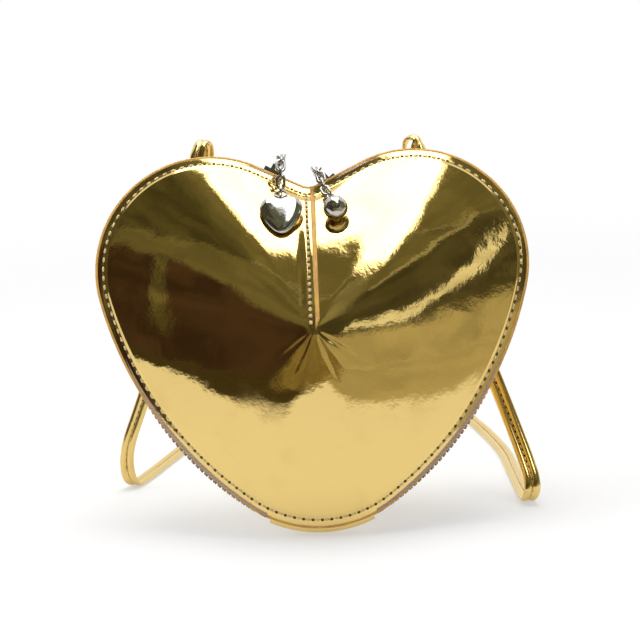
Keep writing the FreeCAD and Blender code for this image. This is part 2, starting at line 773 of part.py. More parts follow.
def strap_body(way):
    """The flat strap: straight-sided pieces between its stations."""
    sections = []
    stations = strap_stations(way)
    for middle, ahead, across in stations:
        flat = across - ahead * across.dot(ahead)
        flat = flat.normalize() * size("strap_wide") / 2
        thick = ahead.cross(flat).normalize() * size("strap_thick") / 2
        corners = [middle + flat + thick, middle - flat + thick,
                   middle - flat - thick, middle + flat - thick]
        sections.append(Part.makePolygon(corners + corners[:1]))
    length = sum((b[0] - a[0]).Length for a, b in zip(stations, stations[1:]))
    body = Part.makeLoft(sections, True, True)
    print("strap length", round(length, 1), "volume share",
          round(body.Volume / (length * size("strap_wide") * size("strap_thick")), 3))
    return body


ends = {}
for hand, prefix in PULL_NAMES.items():
    shape, ends[hand] = strap_end(hand)
    add_shape(prefix + "_strap_end", shape)
first = [(ends[LEFT], vector(1, 0, 0))]
last = [(ends[RIGHT], vector(1, 0, 0))]
way_shares = LEFT_SHARES + LOOP_SHARES + RIGHT_SHARES
between = [(vector(*p) * size("strap_span"), vector(*w)) for p, w in way_shares]
strap = doc.addObject("Part::Feature", "shoulder_strap")
strap.Shape = strap_body(first + between + last)
nodes["shoulder_strap"] = strap

doc.recompute()
for name, piece in nodes.items():
    if "Invalid" in piece.State or "Error" in piece.State:
        raise RuntimeError(name + " was not made")
    if piece.Shape.isNull() or not piece.Shape.isValid():
        raise RuntimeError(name + " is not a sound shape")
    piece.Label = name
    piece.Shape.exportStep("parts/%s.step" % name)
    print(name, len(piece.Shape.Solids), round(piece.Shape.Volume, 1))
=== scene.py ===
"""Studio scene of a heart shaped purse covered in mirror gold film, on a pale floor."""

import logging
import math
from dataclasses import dataclass, field
from enum import Enum
from typing import Any, Iterable, Sequence

import bmesh
import bpy
import numpy as np
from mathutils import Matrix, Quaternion, Vector, noise
from mathutils.bvhtree import BVHTree


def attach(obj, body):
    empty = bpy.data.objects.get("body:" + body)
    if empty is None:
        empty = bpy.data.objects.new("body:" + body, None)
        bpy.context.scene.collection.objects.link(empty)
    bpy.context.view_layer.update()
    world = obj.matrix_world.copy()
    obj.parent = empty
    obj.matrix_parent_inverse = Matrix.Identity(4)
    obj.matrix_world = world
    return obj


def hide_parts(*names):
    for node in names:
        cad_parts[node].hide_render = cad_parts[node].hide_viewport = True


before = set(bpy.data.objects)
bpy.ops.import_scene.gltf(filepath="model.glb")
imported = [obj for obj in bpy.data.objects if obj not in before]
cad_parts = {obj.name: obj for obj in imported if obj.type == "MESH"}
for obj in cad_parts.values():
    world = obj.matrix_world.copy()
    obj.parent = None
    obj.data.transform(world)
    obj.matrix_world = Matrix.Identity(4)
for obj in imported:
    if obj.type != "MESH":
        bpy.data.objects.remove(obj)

LOG = logging.getLogger("heart_purse")
MM = 0.001  # metres
WELD = 1e-7  # metres
WAVE_BAND = math.tau / 20  # one rib of a wave texture of scale 1, in metres
WHITE = (1.0, 1.0, 1.0)
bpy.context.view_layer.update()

Colour = tuple[float, float, float]
Point = tuple[float, float, float]
Pair = tuple[float, float]
Material = bpy.types.Material
Piece = bpy.types.Object


class Named(Enum):
    """Options that pieces are named after."""

    @property
    def word(self) -> str:
        """The option's name in lower case."""
        return self.name.lower()


class Side(Named):
    """The two halves of the purse, by the sign of their depth."""

    FRONT = -1
    BACK = 1

    @property
    def body(self) -> str:
        """The body that the half's pieces ride."""
        return self.word + "_half"

    @property
    def mirror(self) -> np.ndarray:
        """Factors that bring points of positive depth to this half."""
        return np.array([1.0, self.value, 1.0])


class Hand(Named):
    """The two ends across the purse, by the sign of X."""

    LEFT = -1
    RIGHT = 1


class Signal:
    """An output socket of a finish that can be reckoned with like a number."""

    def __init__(self, recipe: "Recipe", socket: bpy.types.NodeSocket | None) -> None:
        """Keeps the recipe and the socket, which a closing node doesn't have."""
        self.recipe = recipe
        self.socket = socket

    def __add__(self, other: "Signal | float") -> "Signal":
        """The sum of two signals."""
        return self.recipe.math("ADD", self, other)

    def __radd__(self, other: float) -> "Signal":
        """The sum of a number and a signal."""
        return self.recipe.math("ADD", other, self)

    def __sub__(self, other: "Signal | float") -> "Signal":
        """The difference of two signals."""
        return self.recipe.math("SUBTRACT", self, other)

    def __rsub__(self, other: float) -> "Signal":
        """A number less a signal."""
        return self.recipe.math("SUBTRACT", other, self)

    def __mul__(self, other: "Signal | float") -> "Signal":
        """The product of two signals."""
        return self.recipe.math("MULTIPLY", self, other)

    def __rmul__(self, other: float) -> "Signal":
        """The product of a number and a signal."""
        return self.recipe.math("MULTIPLY", other, self)

    def eased(self, low: float, high: float) -> "Signal":
        """A smooth step from 0 at low to 1 at high."""
        inputs = {"Value": self, "From Min": low, "From Max": high}
        return self.recipe.node("ShaderNodeMapRange", {"interpolation_type": "SMOOTHSTEP"}, inputs)


class Recipe:
    """A finish's nodes while they are joined up."""

    def __init__(self, name: str, world: bpy.types.World | None = None) -> None:
        """Starts an empty finish.

        Args:
            name: The finish's name in plain words.
            world: The surround to give the finish to, if it isn't a piece's.
        """
        self.material = world or bpy.data.materials.new(name)
        self.material.use_nodes = True
        self.tree = self.material.node_tree
        self.tree.nodes.clear()

    def node(
        self,
        kind: str,
        settings: dict[str, Any] | None = None,
        inputs: dict[str | int, Any] | None = None,
        out: str | int = 0,
    ) -> Signal:
        """Adds one node, with its settings first and then its sockets.

        Args:
            kind: The node's type.
            settings: Values of the node itself.
            inputs: Values or signals for its sockets, by name or number.
            out: The output to give, by name or number.

        Returns:
            That output.
        """
        made = self.tree.nodes.new(kind)
        for name, value in (settings or {}).items():
            setattr(made, name, value)
        for key, value in (inputs or {}).items():
            socket = made.inputs[key]
            if isinstance(value, Signal):
                self.tree.links.new(value.socket, socket)
            else:
                socket.default_value = (*value, 1.0) if socket.type == "RGBA" else value
        return Signal(self, made.outputs[out] if made.outputs else None)

    def math(self, operation: str, *values: Signal | float) -> Signal:
        """Reckons with one or two numbers or signals."""
        return self.node("ShaderNodeMath", {"operation": operation}, dict(enumerate(values)))

    def place(self, stretch: Point = (1.0, 1.0, 1.0)) -> Signal:
        """The point on the piece in metres, stretched along its axes."""
        at = self.node("ShaderNodeTexCoord", out="Object")
        return self.node("ShaderNodeVectorMath", {"operation": "MULTIPLY"}, {0: at, 1: stretch})

    def axis(self, name: str) -> Signal:
        """One coordinate of the point on the piece, in metres."""
        return self.node("ShaderNodeSeparateXYZ", None, {0: self.place()}, name)

    def cells(self, pitch: float) -> Signal:
        """The distance from the middles of random cells, of about 0 to 1."""
        return self.node("ShaderNodeTexVoronoi", None, {"Vector": self.place(), "Scale": 1 / pitch})

    def ribs(self, pitch: float, along: str) -> Signal:
        """Even ribs of 0 to 1 that follow one another along an axis."""
        settings = {"wave_type": "BANDS", "bands_direction": along}
        return self.node("ShaderNodeTexWave", settings, {"Vector": self.place(), "Scale": WAVE_BAND / pitch}, 1)

    def blend(self, share: Signal, first: Colour, second: Colour) -> Signal:
        """A mix of two colours by the second one's share."""
        return self.node("ShaderNodeMix", {"data_type": "RGBA"}, {0: share, 6: first, 7: second}, 2)

    def relief(self, height: Signal, depth: float, under: Signal | None = None) -> Signal:
        """A normal bumped by a height of 0 to 1 and a depth in metres, on another if there is one."""
        lower = {"Normal": under} if under else {}
        return self.node("ShaderNodeBump", None, {"Height": height, "Distance": depth, **lower})

    def surface(self, inputs: dict[str | int, Any]) -> Material:
        """Closes the finish with a surface of the given sockets and gives its material."""
        return self.show(self.node("ShaderNodeBsdfPrincipled", None, inputs))

    def show(self, shader: Signal, closing: str = "ShaderNodeOutputMaterial") -> Material:
        """Closes the finish with a ready shader and gives its material."""
        self.node(closing, None, {"Surface": shader})
        return self.material


@dataclass(frozen=True)
class Grain:
    """Soft random patches, with the band of their values that is stepped, in metres."""

    pitch: float
    detail: float = 2.0
    band: Pair = (0.0, 1.0)
    stretch: Point = (1.0, 1.0, 1.0)
    bend: float = 0.0

    def on(self, r: Recipe) -> Signal:
        """The patches on a finish, as a signal of about 0 to 1."""
        inputs = {"Scale": 1 / self.pitch, "Detail": self.detail, "Distortion": self.bend}
        return r.node("ShaderNodeTexNoise", None, {"Vector": r.place(self.stretch), **inputs})

    def stepped(self, r: Recipe) -> Signal:
        """The patches stepped from 0 to 1 over their band."""
        return self.on(r).eased(*self.band)


@dataclass(frozen=True)
class GoldFilm:
    """Mirror gold film on soft sheet, with faint orange peel, rubs and fine scratches."""

    name: str = "gold film"
    tint: Colour = (0.79, 0.58, 0.21)
    worn: Colour = (0.70, 0.49, 0.17)
    roughness: float = 0.05
    rubbed: float = 0.14
    scratch_share: float = 0.4
    worn_share: float = 0.5
    rubs: Grain = Grain(0.022, 5.0, (0.5, 0.74))
    scratches: Grain = Grain(0.0012, 1.0, (0.66, 0.78), (1.0, 0.3, 0.12), 0.4)
    peel: Grain = Grain(0.0016)
    peel_depth: float = 0.000016
    ripple: Grain = Grain(0.007, 3.0, bend=0.3)
    ripple_depth: float = 0.00006

    def material(self) -> Material:
        """Builds the film's material.

        Returns:
            The material.
        """
        r = Recipe(self.name)
        rubs = self.rubs.stepped(r)
        marks = (1 - self.scratch_share) * rubs + self.scratch_share * self.scratches.stepped(r)
        ripple = r.relief(self.ripple.on(r), self.ripple_depth)
        return r.surface({
            "Base Color": r.blend(rubs * self.worn_share, self.tint, self.worn),
            "Metallic": 1.0,
            "Roughness": self.roughness + self.rubbed * marks * rubs,
            "Normal": r.relief(self.peel.on(r), self.peel_depth, ripple),
        })


@dataclass(frozen=True)
class PatchyFinish:
    """A finish in two shades of soft patches, such as paint, thread or the painted shade in the mouth of a
    hole.
    """

    name: str
    low: Colour
    high: Colour
    patches: Grain
    roughness: float
    rougher: float = 0.0
    bumps: Grain | None = None
    bump_depth: float = 0.0
    more: tuple[tuple[str, float], ...] = ()

    def material(self) -> Material:
        """Builds the finish's material.

        Returns:
            The material.
        """
        r = Recipe(self.name)
        patches = self.patches.on(r)
        inputs: dict[str | int, Any] = {
            "Base Color": r.blend(patches.eased(*self.patches.band), self.low, self.high),
            "Roughness": self.roughness + self.rougher * patches if self.rougher else self.roughness,
            **dict(self.more),
        }
        if self.bumps:
            inputs["Normal"] = r.relief(self.bumps.on(r), self.bump_depth)
        return r.surface(inputs)


STRANDS = Grain(0.0007, 1.0, (0.35, 0.65), (1.0, 0.6, 1.0))
EDGE_PAINT = PatchyFinish(
    "edge paint", (0.66, 0.37, 0.085), (0.52, 0.29, 0.085), Grain(0.006, 3.0, (0.3, 0.7)),
    roughness=0.4, rougher=0.25, bumps=Grain(0.0018), bump_depth=0.00012,
    more=(("Specular IOR Level", 0.25), ("Coat Weight", 0.08), ("Coat Roughness", 0.3)),
)
GOLD_THREAD = PatchyFinish(
    "gold thread", (0.52, 0.37, 0.12), (0.78, 0.60, 0.25), STRANDS,
    roughness=0.45, bumps=STRANDS, bump_depth=0.0001, more=(("Sheen Weight", 0.3),),
)
# Needle holes: dark discs on the face that paint the shade inside each hole.
NEEDLE_HOLE_SHADE = PatchyFinish(
    "needle hole", (0.045, 0.026, 0.008), (0.13, 0.08, 0.025), Grain(0.0006, 2.0, (0.4, 0.7)),
    roughness=0.6, rougher=0.2,
)


@dataclass(frozen=True)
class WovenCloth:
    """A plain weave of warp and weft, used for the zip tapes and the lining."""

    name: str
    tint: Colour
    shade: Colour
    pitch: float
    warp: str = "X"
    weft: str = "Z"
    depth: float = 0.00012
    fuzz_share: float = 0.4
    fuzz_rise: float = 0.3
    fuzz_size: float = 3.0

    def material(self) -> Material:
        """Builds the cloth's material.

        Returns:
            The material.
        """
        r = Recipe(self.name)
        weave = r.ribs(self.pitch, self.warp) * r.ribs(self.pitch, self.weft)
        fuzz = Grain(self.pitch * self.fuzz_size, 3.0).on(r)
        share = (1 - self.fuzz_share) * weave + self.fuzz_share * fuzz
        return r.surface({
            "Base Color": r.blend(share, self.shade, self.tint),
            "Roughness": 0.8,
            "Sheen Weight": 0.25,
            "Normal": r.relief(weave + self.fuzz_rise * fuzz, self.depth),
        })


@dataclass(frozen=True)
class PlatedMetal:
    """Bright plated metal with faint wear."""

    name: str
    tint: Colour
    shade: Colour
    roughness: float
    worn: float = 0.2
    scratch_share: float = 0.3
    shade_share: float = 0.6
    wear: Grain = Grain(0.0035, 4.0, (0.5, 0.75))
    scratches: Grain = Grain(0.0004, 1.0, (0.6, 0.8), (0.15, 1.0, 1.0))
    dents: Grain = Grain(0.0012)
    dent_depth: float = 0.00001

    def material(self) -> Material:
        """Builds the plating's material.

        Returns:
            The material.
        """
        r = Recipe(self.name)
        wear = self.wear.stepped(r)
        marks = (1 - self.scratch_share) * wear + self.scratch_share * self.scratches.stepped(r)
        return r.surface({
            "Base Color": r.blend(wear * self.shade_share, self.tint, self.shade),
            "Metallic": 1.0,
            "Roughness": self.roughness + self.worn * marks,
            "Normal": r.relief(self.dents.on(r), self.dent_depth),
        })


@dataclass(frozen=True)
class Foam:
    """Pressed foam with small open cells."""

    name: str = "pressed foam"
    tint: Colour = (0.74, 0.72, 0.66)
    shade: Colour = (0.55, 0.53, 0.48)
    cell: float = 0.0009
    depth: float = 0.0002

    def material(self) -> Material:
        """Builds the foam's material.

        Returns:
            The material.
        """
        r = Recipe(self.name)
        cells = r.cells(self.cell)
        return r.surface({
            "Base Color": r.blend(cells, self.shade, self.tint),
            "Roughness": 0.9,
            "Normal": r.relief(cells, self.depth),
        })


def unit(rows: np.ndarray) -> np.ndarray:
    """Rows brought to a length of 1."""
    return rows / np.linalg.norm(rows, axis=-1, keepdims=True)


def spun(count: int) -> np.ndarray:
    """Even angles once round."""
    return np.arange(count) / count * math.tau


def stood(flat: np.ndarray, depth: float) -> np.ndarray:
    """Rows of X and Z stood up at a depth, as rows of X, Y and Z."""
    return np.stack([flat[:, 0], np.full(len(flat), depth), flat[:, 1]], axis=1)


def leaned(points: np.ndarray, angle: float) -> np.ndarray:
    """Points leaned back about X.

    Args:
        points: X, Y and Z along the last axis.
        angle: How far they lean.

    Returns:
        The leaned points.
    """
    c, s = math.cos(angle), math.sin(angle)
    x, y, z = points[..., 0], points[..., 1], points[..., 2]
    return np.stack([x, y * c + z * s, z * c - y * s], axis=-1)


def lengths_along(points: np.ndarray) -> np.ndarray:
    """The length along a line at each of its points."""
    return np.concatenate([[0.0], np.cumsum(np.linalg.norm(np.diff(points, axis=0), axis=1))])


def read_along(places: np.ndarray, lengths: np.ndarray, values: np.ndarray) -> np.ndarray:
    """Rows of values, known at lengths along a line, read at other places on it."""
    return np.stack([np.interp(places, lengths, column) for column in values.T], axis=1)


def eased(value: np.ndarray, low: float, high: float) -> np.ndarray:
    """A smooth step from 0 at low to 1 at high."""
    t = np.clip((value - low) / (high - low), 0.0, 1.0)
    return t * t * (3 - 2 * t)


def waves(points: np.ndarray, pitch: float, seed: float) -> np.ndarray:
    """Smooth random heights of about -1 to 1 at points, by the waves' size and a shift of their own."""
    return np.array([noise.noise(Vector(p) / pitch + Vector((seed, seed, seed))) for p in points])


@dataclass(frozen=True)
class Stance:
    """How the upright purse leans back on its gusset and strap, in millimetres."""

    lean: float = math.radians(20)
    back: float = 3.8285
    lift: float = 2.9976

    def world(self, points: np.ndarray) -> np.ndarray:
        """Leans upright rows in millimetres back into the shared frame in metres."""
        return (leaned(points, self.lean) + np.array([0.0, -self.back, self.lift])) * MM


@dataclass
class Form:
    """Points in millimetres and the faces between them, gathered for one piece."""

    points: list[np.ndarray] = field(default_factory=list)
    faces: list[tuple[int, ...]] = field(default_factory=list)
    count: int = 0

    def add(self, points: np.ndarray, faces: Iterable[Sequence[int]]) -> None:
        """Adds points with faces that are numbered from the first of them.

        Args:
            points: Rows of X, Y and Z.
            faces: Rings of point numbers, below zero for points added before.
        """
        start = self.count
        self.points.append(points)
        self.count += len(points)
        self.faces.extend(tuple(start + int(i) for i in face) for face in faces)

    def net(self, rows: np.ndarray, ring: bool = False, flip: bool = False, caps: bool = False) -> "Form":
        """Adds a net of rows of points.

        Args:
            rows: Points by row and column.
            ring: Whether the last column joins the first.
            flip: Whether the faces turn the other way.
            caps: Whether the first and last row are closed.

        Returns:
            The form.
        """
        high, wide = rows.shape[:2]
        faces = []
        for i in range(high - 1):
            for j in range(wide if ring else wide - 1):
                k = (j + 1) % wide
                faces.append((i * wide + j, i * wide + k, (i + 1) * wide + k, (i + 1) * wide + j))
        if caps:
            first = tuple(range(wide))
            faces += [first[::-1], tuple((high - 1) * wide + j for j in first)]
        self.add(rows.reshape(-1, 3), [face[::-1] for face in faces] if flip else faces)
        return self

    def whole(self) -> np.ndarray:
        """All the points, row by row."""
        return np.concatenate(self.points)

    def tree(self) -> BVHTree:
        """A search tree of the faces, in millimetres."""
        return BVHTree.FromPolygons(self.whole().tolist(), self.faces)

    @staticmethod
    def settle(mesh: bpy.types.Mesh) -> None:
        """Welds points that lie on one another and, if the faces look inward on the whole, turns them all
        round.

        Args:
            mesh: The mesh, in metres.
        """
        shell = bmesh.new()
        shell.from_mesh(mesh)
        bmesh.ops.remove_doubles(shell, verts=shell.verts, dist=WELD)
        middle = sum((vert.co for vert in shell.verts), Vector()) / len(shell.verts)
        outward = sum(
            face.normal.dot(face.calc_center_median() - middle) * face.calc_area() for face in shell.faces
        )
        if outward < -WELD:
            bmesh.ops.reverse_faces(shell, faces=shell.faces)
        shell.to_mesh(mesh)
        shell.free()

    def piece(self, name: str, material: Material, upright: bool = True) -> Piece:
        """Makes the piece in the scene.

        Args:
            name: The piece's name.
            material: Its finish.
            upright: Whether the points are upright and lean back with the purse.

        Returns:
            The piece.
        """
        points = Stance().world(self.whole()) if upright else self.whole() * MM
        mesh = bpy.data.meshes.new(name)
        mesh.from_pydata(points.tolist(), [], self.faces)
        self.settle(mesh)
        mesh.polygons.foreach_set("use_smooth", [True] * len(mesh.polygons))
        mesh.materials.append(material)
        mesh.update()
        made = bpy.data.objects.new(name, mesh)
        bpy.context.scene.collection.objects.link(made)
        return made


def fitted(piece: Piece, body: str, node: str = "") -> Piece:
    """Makes a piece ride a body and, if it stands for a node, hides that node.

    Args:
        piece: The piece.
        body: The body's name.
        node: The node's name.

    Returns:
        The piece.
    """
    if node:
        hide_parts(node)
    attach(piece, body)
    return piece


@dataclass(frozen=True)
class HeartLine:
    """A heart of tangent arcs: a rounded cleft, slopes, lobes, sides and a tip."""

    across: float
    up: float
    radius: float
    cleft: float
    side: float
    side_radius: float
    tip: float
    reach: float

    def runs(self, offset: float, cleft: float) -> list[tuple[float, float, float, float, float]]:
        """The right half's runs from cleft to tip.

        Args:
            offset: How far the line is moved out.
            cleft: The angle at which the lobe starts, in degrees.

        Returns:
            For each arc its centre, radius and two end angles.
        """
        slope = math.radians(cleft - 90)
        first, waist, tip = math.radians(cleft), math.radians(self.side), math.radians(self.tip)
        start = (self.across + self.radius * math.cos(first), self.up + self.radius * math.sin(first))
        round_off = self.reach / math.sin(slope)
        foot = start[1] - (start[0] - self.reach) * math.tan(slope)
        cleft_up = foot + round_off * math.cos(slope)
        gap = self.radius - self.side_radius
        middle = (self.across + gap * math.cos(waist), self.up + gap * math.sin(waist))
        tip_radius = self.side_radius + middle[0] / math.cos(tip)
        tip_up = middle[1] - middle[0] * math.tan(tip)
        low = -math.pi / 2
        return [
            (0.0, cleft_up, round_off - offset, low, low + slope),
            (self.across, self.up, self.radius + offset, first, waist),
            (*middle, self.side_radius + offset, waist, tip),
            (0.0, tip_up, tip_radius + offset, tip, low),
        ]

    def half(self, offset: float, cleft: float, steps: int = 160) -> tuple[np.ndarray, np.ndarray]:
        """Close points along the right half and their lengths from the cleft.

        Args:
            offset: How far the line is moved out.
            cleft: The angle at which the lobe starts, in degrees.
            steps: The number of points on each arc.

        Returns:
            The points, and the length at each.
        """
        stretches = []
        for x, z, radius, first, last in self.runs(offset, cleft):
            turn = first + (last - first) * np.linspace(0.0, 1.0, steps)
            stretches.append(np.stack([x + radius * np.cos(turn), z + radius * np.sin(turn)], 1))
        points = np.concatenate(stretches)
        return points, lengths_along(points)

    def line(
        self,
        shares: np.ndarray,
        offset: float = 0.0,
        scale: float = 1.0,
        about: float = 0.0,
        cleft: float | None = None,
    ) -> np.ndarray:
        """Points all round the heart, from the cleft by way of the right side.

        Args:
            shares: Shares of the way round, from 0 to 1.
            offset: How far the line is moved out.
            scale: The heart's scale about a height on X = 0.
            about: That height.
            cleft: The angle at which the lobe starts, if not the heart's own.

        Returns:
            Rows of X and Z.
        """
        points, lengths = self.half(offset, self.cleft if cleft is None else cleft)
        right = shares <= 0.5
        spots = read_along(np.where(right, shares, 1 - shares) * 2 * lengths[-1], lengths, points)
        x = spots[:, 0] * np.where(right, 1, -1)
        return np.stack([x * scale, about + (spots[:, 1] - about) * scale], axis=1)

    def rows(self, around: np.ndarray, profile: Iterable[Pair]) -> np.ndarray:
        """Points all round the heart for each offset and depth of a profile."""
        return np.array([stood(self.line(around, offset), depth) for offset, depth in profile])

    def even(self, offset: float, pitch: float) -> np.ndarray:
        """Even shares of the way round, a stitch's pitch apart."""
        count = round(2 * self.half(offset, self.cleft)[1][-1] / pitch)
        return (np.arange(count) + 0.5) / count

    def track(self, along: float, hand: Hand) -> tuple[np.ndarray, float]:
        """A place on the lobe, side or tip arc, measured from where the lobe starts.

        Args:
            along: The length from there, in millimetres.
            hand: The half of the heart.

        Returns:
            The point's X and Z, and the angle of its outward direction.
        """
        for x, z, radius, first, last in self.runs(0.0, self.cleft)[1:]:
            length = radius * (first - last)
            if along <= length:
                break
            along -= length
        turn = first - along / radius
        point = np.array([hand.value * (x + radius * math.cos(turn)), z + radius * math.sin(turn)])
        return point, turn


OUTLINE = HeartLine(
    across=50.0, up=128.2, radius=56.1, cleft=115.8, side=-14.1, side_radius=182.9, tip=-53.9, reach=3.5
)
ZIP_LINE = HeartLine(
    across=46.0, up=126.4, radius=54.8, cleft=137.0, side=-7.1, side_radius=152.4, tip=-57.8, reach=4.0
)


@dataclass(frozen=True)
class Dome:
    """The bulge that both halves share, in millimetres."""

    rim: float = 5.5
    skin: float = 1.6
    margin: float = 5.5
    height: float = 34.0
    apex: float = 92.5
    cone_share: float = 0.55
    fade: float = 93.0  # the lobes' first angle at the top, where the cleft has faded out
    fade_power: int = 4
    knee: float = 0.06  # how softly the margin turns into the bulge
    blunt_share: float = 0.03
    crowd_power: float = 2.2

    @property
    def face(self) -> float:
        """The depth of the gold panel's face at the bulge's base line."""
        return self.rim + self.skin

    def rise(self, share: np.ndarray | float) -> np.ndarray:
        """How far the bulge stands out at a share of its base line.

        Args:
            share: 1 at the base line and 0 at the top.

        Returns:
            The rise in millimetres.
        """
        blunt = np.sqrt(share**2 + self.blunt_share**2) - self.blunt_share
        full = self.cone_share * (1 - blunt) + (1 - self.cone_share) * (1 - share**2)
        raw = self.height * np.maximum(full, 0.0)
        return np.sqrt(raw**2 + self.knee**2) - self.knee

    def level(self, share: float, around: np.ndarray) -> np.ndarray:
        """One level line of the bulge: X and Z all round."""
        cleft = self.fade + (OUTLINE.cleft - self.fade) * share**self.fade_power
        return OUTLINE.line(around, -self.margin, share, self.apex, cleft)

    def around(self, half_count: int, crowd_share: float = 0.12) -> np.ndarray:
        """Shares of the way round that crowd together at the cleft.

        Args:
            half_count: The number of steps on each side.
            crowd_share: The steps' size at the cleft against even steps.

        Returns:
            Shares from 0 to 1, without the last.
        """
        t = np.linspace(0.0, 1.0, half_count + 1)
        right = 0.5 * ((1 - crowd_share) * t**self.crowd_power + crowd_share * t)
        return np.concatenate([right, 1 - right[-2:0:-1]])

    def shell(self, side: Side, base: float, around: np.ndarray, shares: Sequence[float]) -> np.ndarray:
        """Points on the bulge above a base depth, by level line from the base up and by place round it."""
        rows = [stood(self.level(share, around), base + self.rise(share)) for share in shares]
        return np.array(rows) * side.mirror


DOME = Dome()


@dataclass(frozen=True)
class StitchRow:
    """A row of machine stitches and the needle holes between them, as dark discs of painted shade, in
    millimetres.
    """

    pitch: float
    share: float
    width: float
    height: float
    hole: float = 0.62
    hole_oval: float = 0.85
    hole_sides: int = 12
    hole_rim: float = 0.02
    hole_middle: float = 0.06
    turns: int = 8
    steps: int = 7
    blunt: float = 3.5
    end_girth: float = 0.02
    sag: float = 0.35

    def pierce(self, form: Form, spots: np.ndarray, along: np.ndarray, out: np.ndarray) -> None:
        """Adds the needle holes, as dark discs of painted shade, to a form.

        Args:
            form: What they are added to.
            spots: Their middles on the face.
            along: The directions of the row.
            out: The directions that the face looks to.
        """
        up = unit(out)
        side = unit(np.cross(up, along))
        ahead = np.cross(side, up)
        spin = spun(self.hole_sides)[:, None]
        fan = [(i, (i + 1) % self.hole_sides, self.hole_sides) for i in range(self.hole_sides)]
        for spot, x, y, z in zip(spots, ahead, side, up):
            rim = spot + self.hole * (np.cos(spin) * x + self.hole_oval * np.sin(spin) * y) + self.hole_rim * z
            form.add(np.concatenate([rim, [spot + self.hole_middle * z]]), fan)

    def sew(self, form: Form, middles: np.ndarray, along: np.ndarray, out: np.ndarray) -> None:
        """Adds the stitches to a form.

        Args:
            form: What they are added to.
            middles: Their middles.
            along: Their directions.
            out: The directions that they stand out to.
        """
        ahead = unit(along)
        side = unit(np.cross(out, ahead))
        up = np.cross(ahead, side)
        t = np.linspace(-1.0, 1.0, self.steps)[:, None]
        girth = np.sqrt(np.maximum(1 - np.abs(t) ** self.blunt, self.end_girth))
        spin = spun(self.turns)
        forth = t * self.pitch * self.share / 2
        across = girth * np.cos(spin) * self.width / 2
        rise = (girth * np.sin(spin) - self.sag * t**2) * self.height / 2
        for middle, x, y, z in zip(middles, ahead, side, up):
            rows = middle + forth[..., None] * x + across[..., None] * y + rise[..., None] * z
            form.net(rows, ring=True, caps=True)


@dataclass(frozen=True)
class Dart:
    """The sewn dart from the cleft to the top of the bulge, its left flap over its right, in millimetres."""

    edge: float = 0.5
    step: float = 0.75
    lap: float = 8.0
    flat: float = 1.0
    drop: float = 0.35
    stitch_in: float = 2.1
    groove: float = 0.16
    groove_half: float = 0.7
    start: float = -1.0
    fade: float = 10.0
    crease_wide: float = 0.7
    crease_spread: float = 0.045
    crease_start: Pair = (0.5, 7.0)
    crease_reach: float = 33.0
    crease_turn: float = 1.5
    creases: tuple[Pair, ...] = (
        (-29.0, 0.10), (-16.0, -0.05), (-5.0, 0.11), (3.0, 0.08), (12.0, -0.05), (24.0, 0.17), (36.0, -0.06),
        (54.0, 0.14), (-52.0, 0.06),
    )

    def relief(self, x: np.ndarray, z: np.ndarray) -> np.ndarray:
        """How far the dart and its creases lift the panel.

        Args:
            x: Places across.
            z: Heights.

        Returns:
            The lift in millimetres.
        """
        above = eased(z - DOME.apex, self.start, self.fade)
        flap = eased(x, self.edge - self.lap, self.edge - self.flat) * (x < self.edge)
        fall = eased(self.edge + self.drop - x, 0.0, self.drop) * (x >= self.edge)
        groove = self.groove * np.exp(-(((x - self.edge + self.stitch_in) / self.groove_half) ** 2))
        lift = above * (self.step * (flap + fall) - groove)
        away = np.hypot(x, z - DOME.apex)
        turn = np.degrees(np.arctan2(x, DOME.apex - z))
        swell = eased(away, *self.crease_start) * (1 - eased(away, self.crease_reach / 2, self.crease_reach))
        for angle, depth in self.creases:
            gap = np.radians((turn - angle + 180) % 360 - 180)
            across = away * np.sin(np.clip(gap, -self.crease_turn, self.crease_turn))
            wide = self.crease_wide + self.crease_spread * away
            lift = lift - depth * swell * np.exp(-((across / wide) ** 2))
        return lift


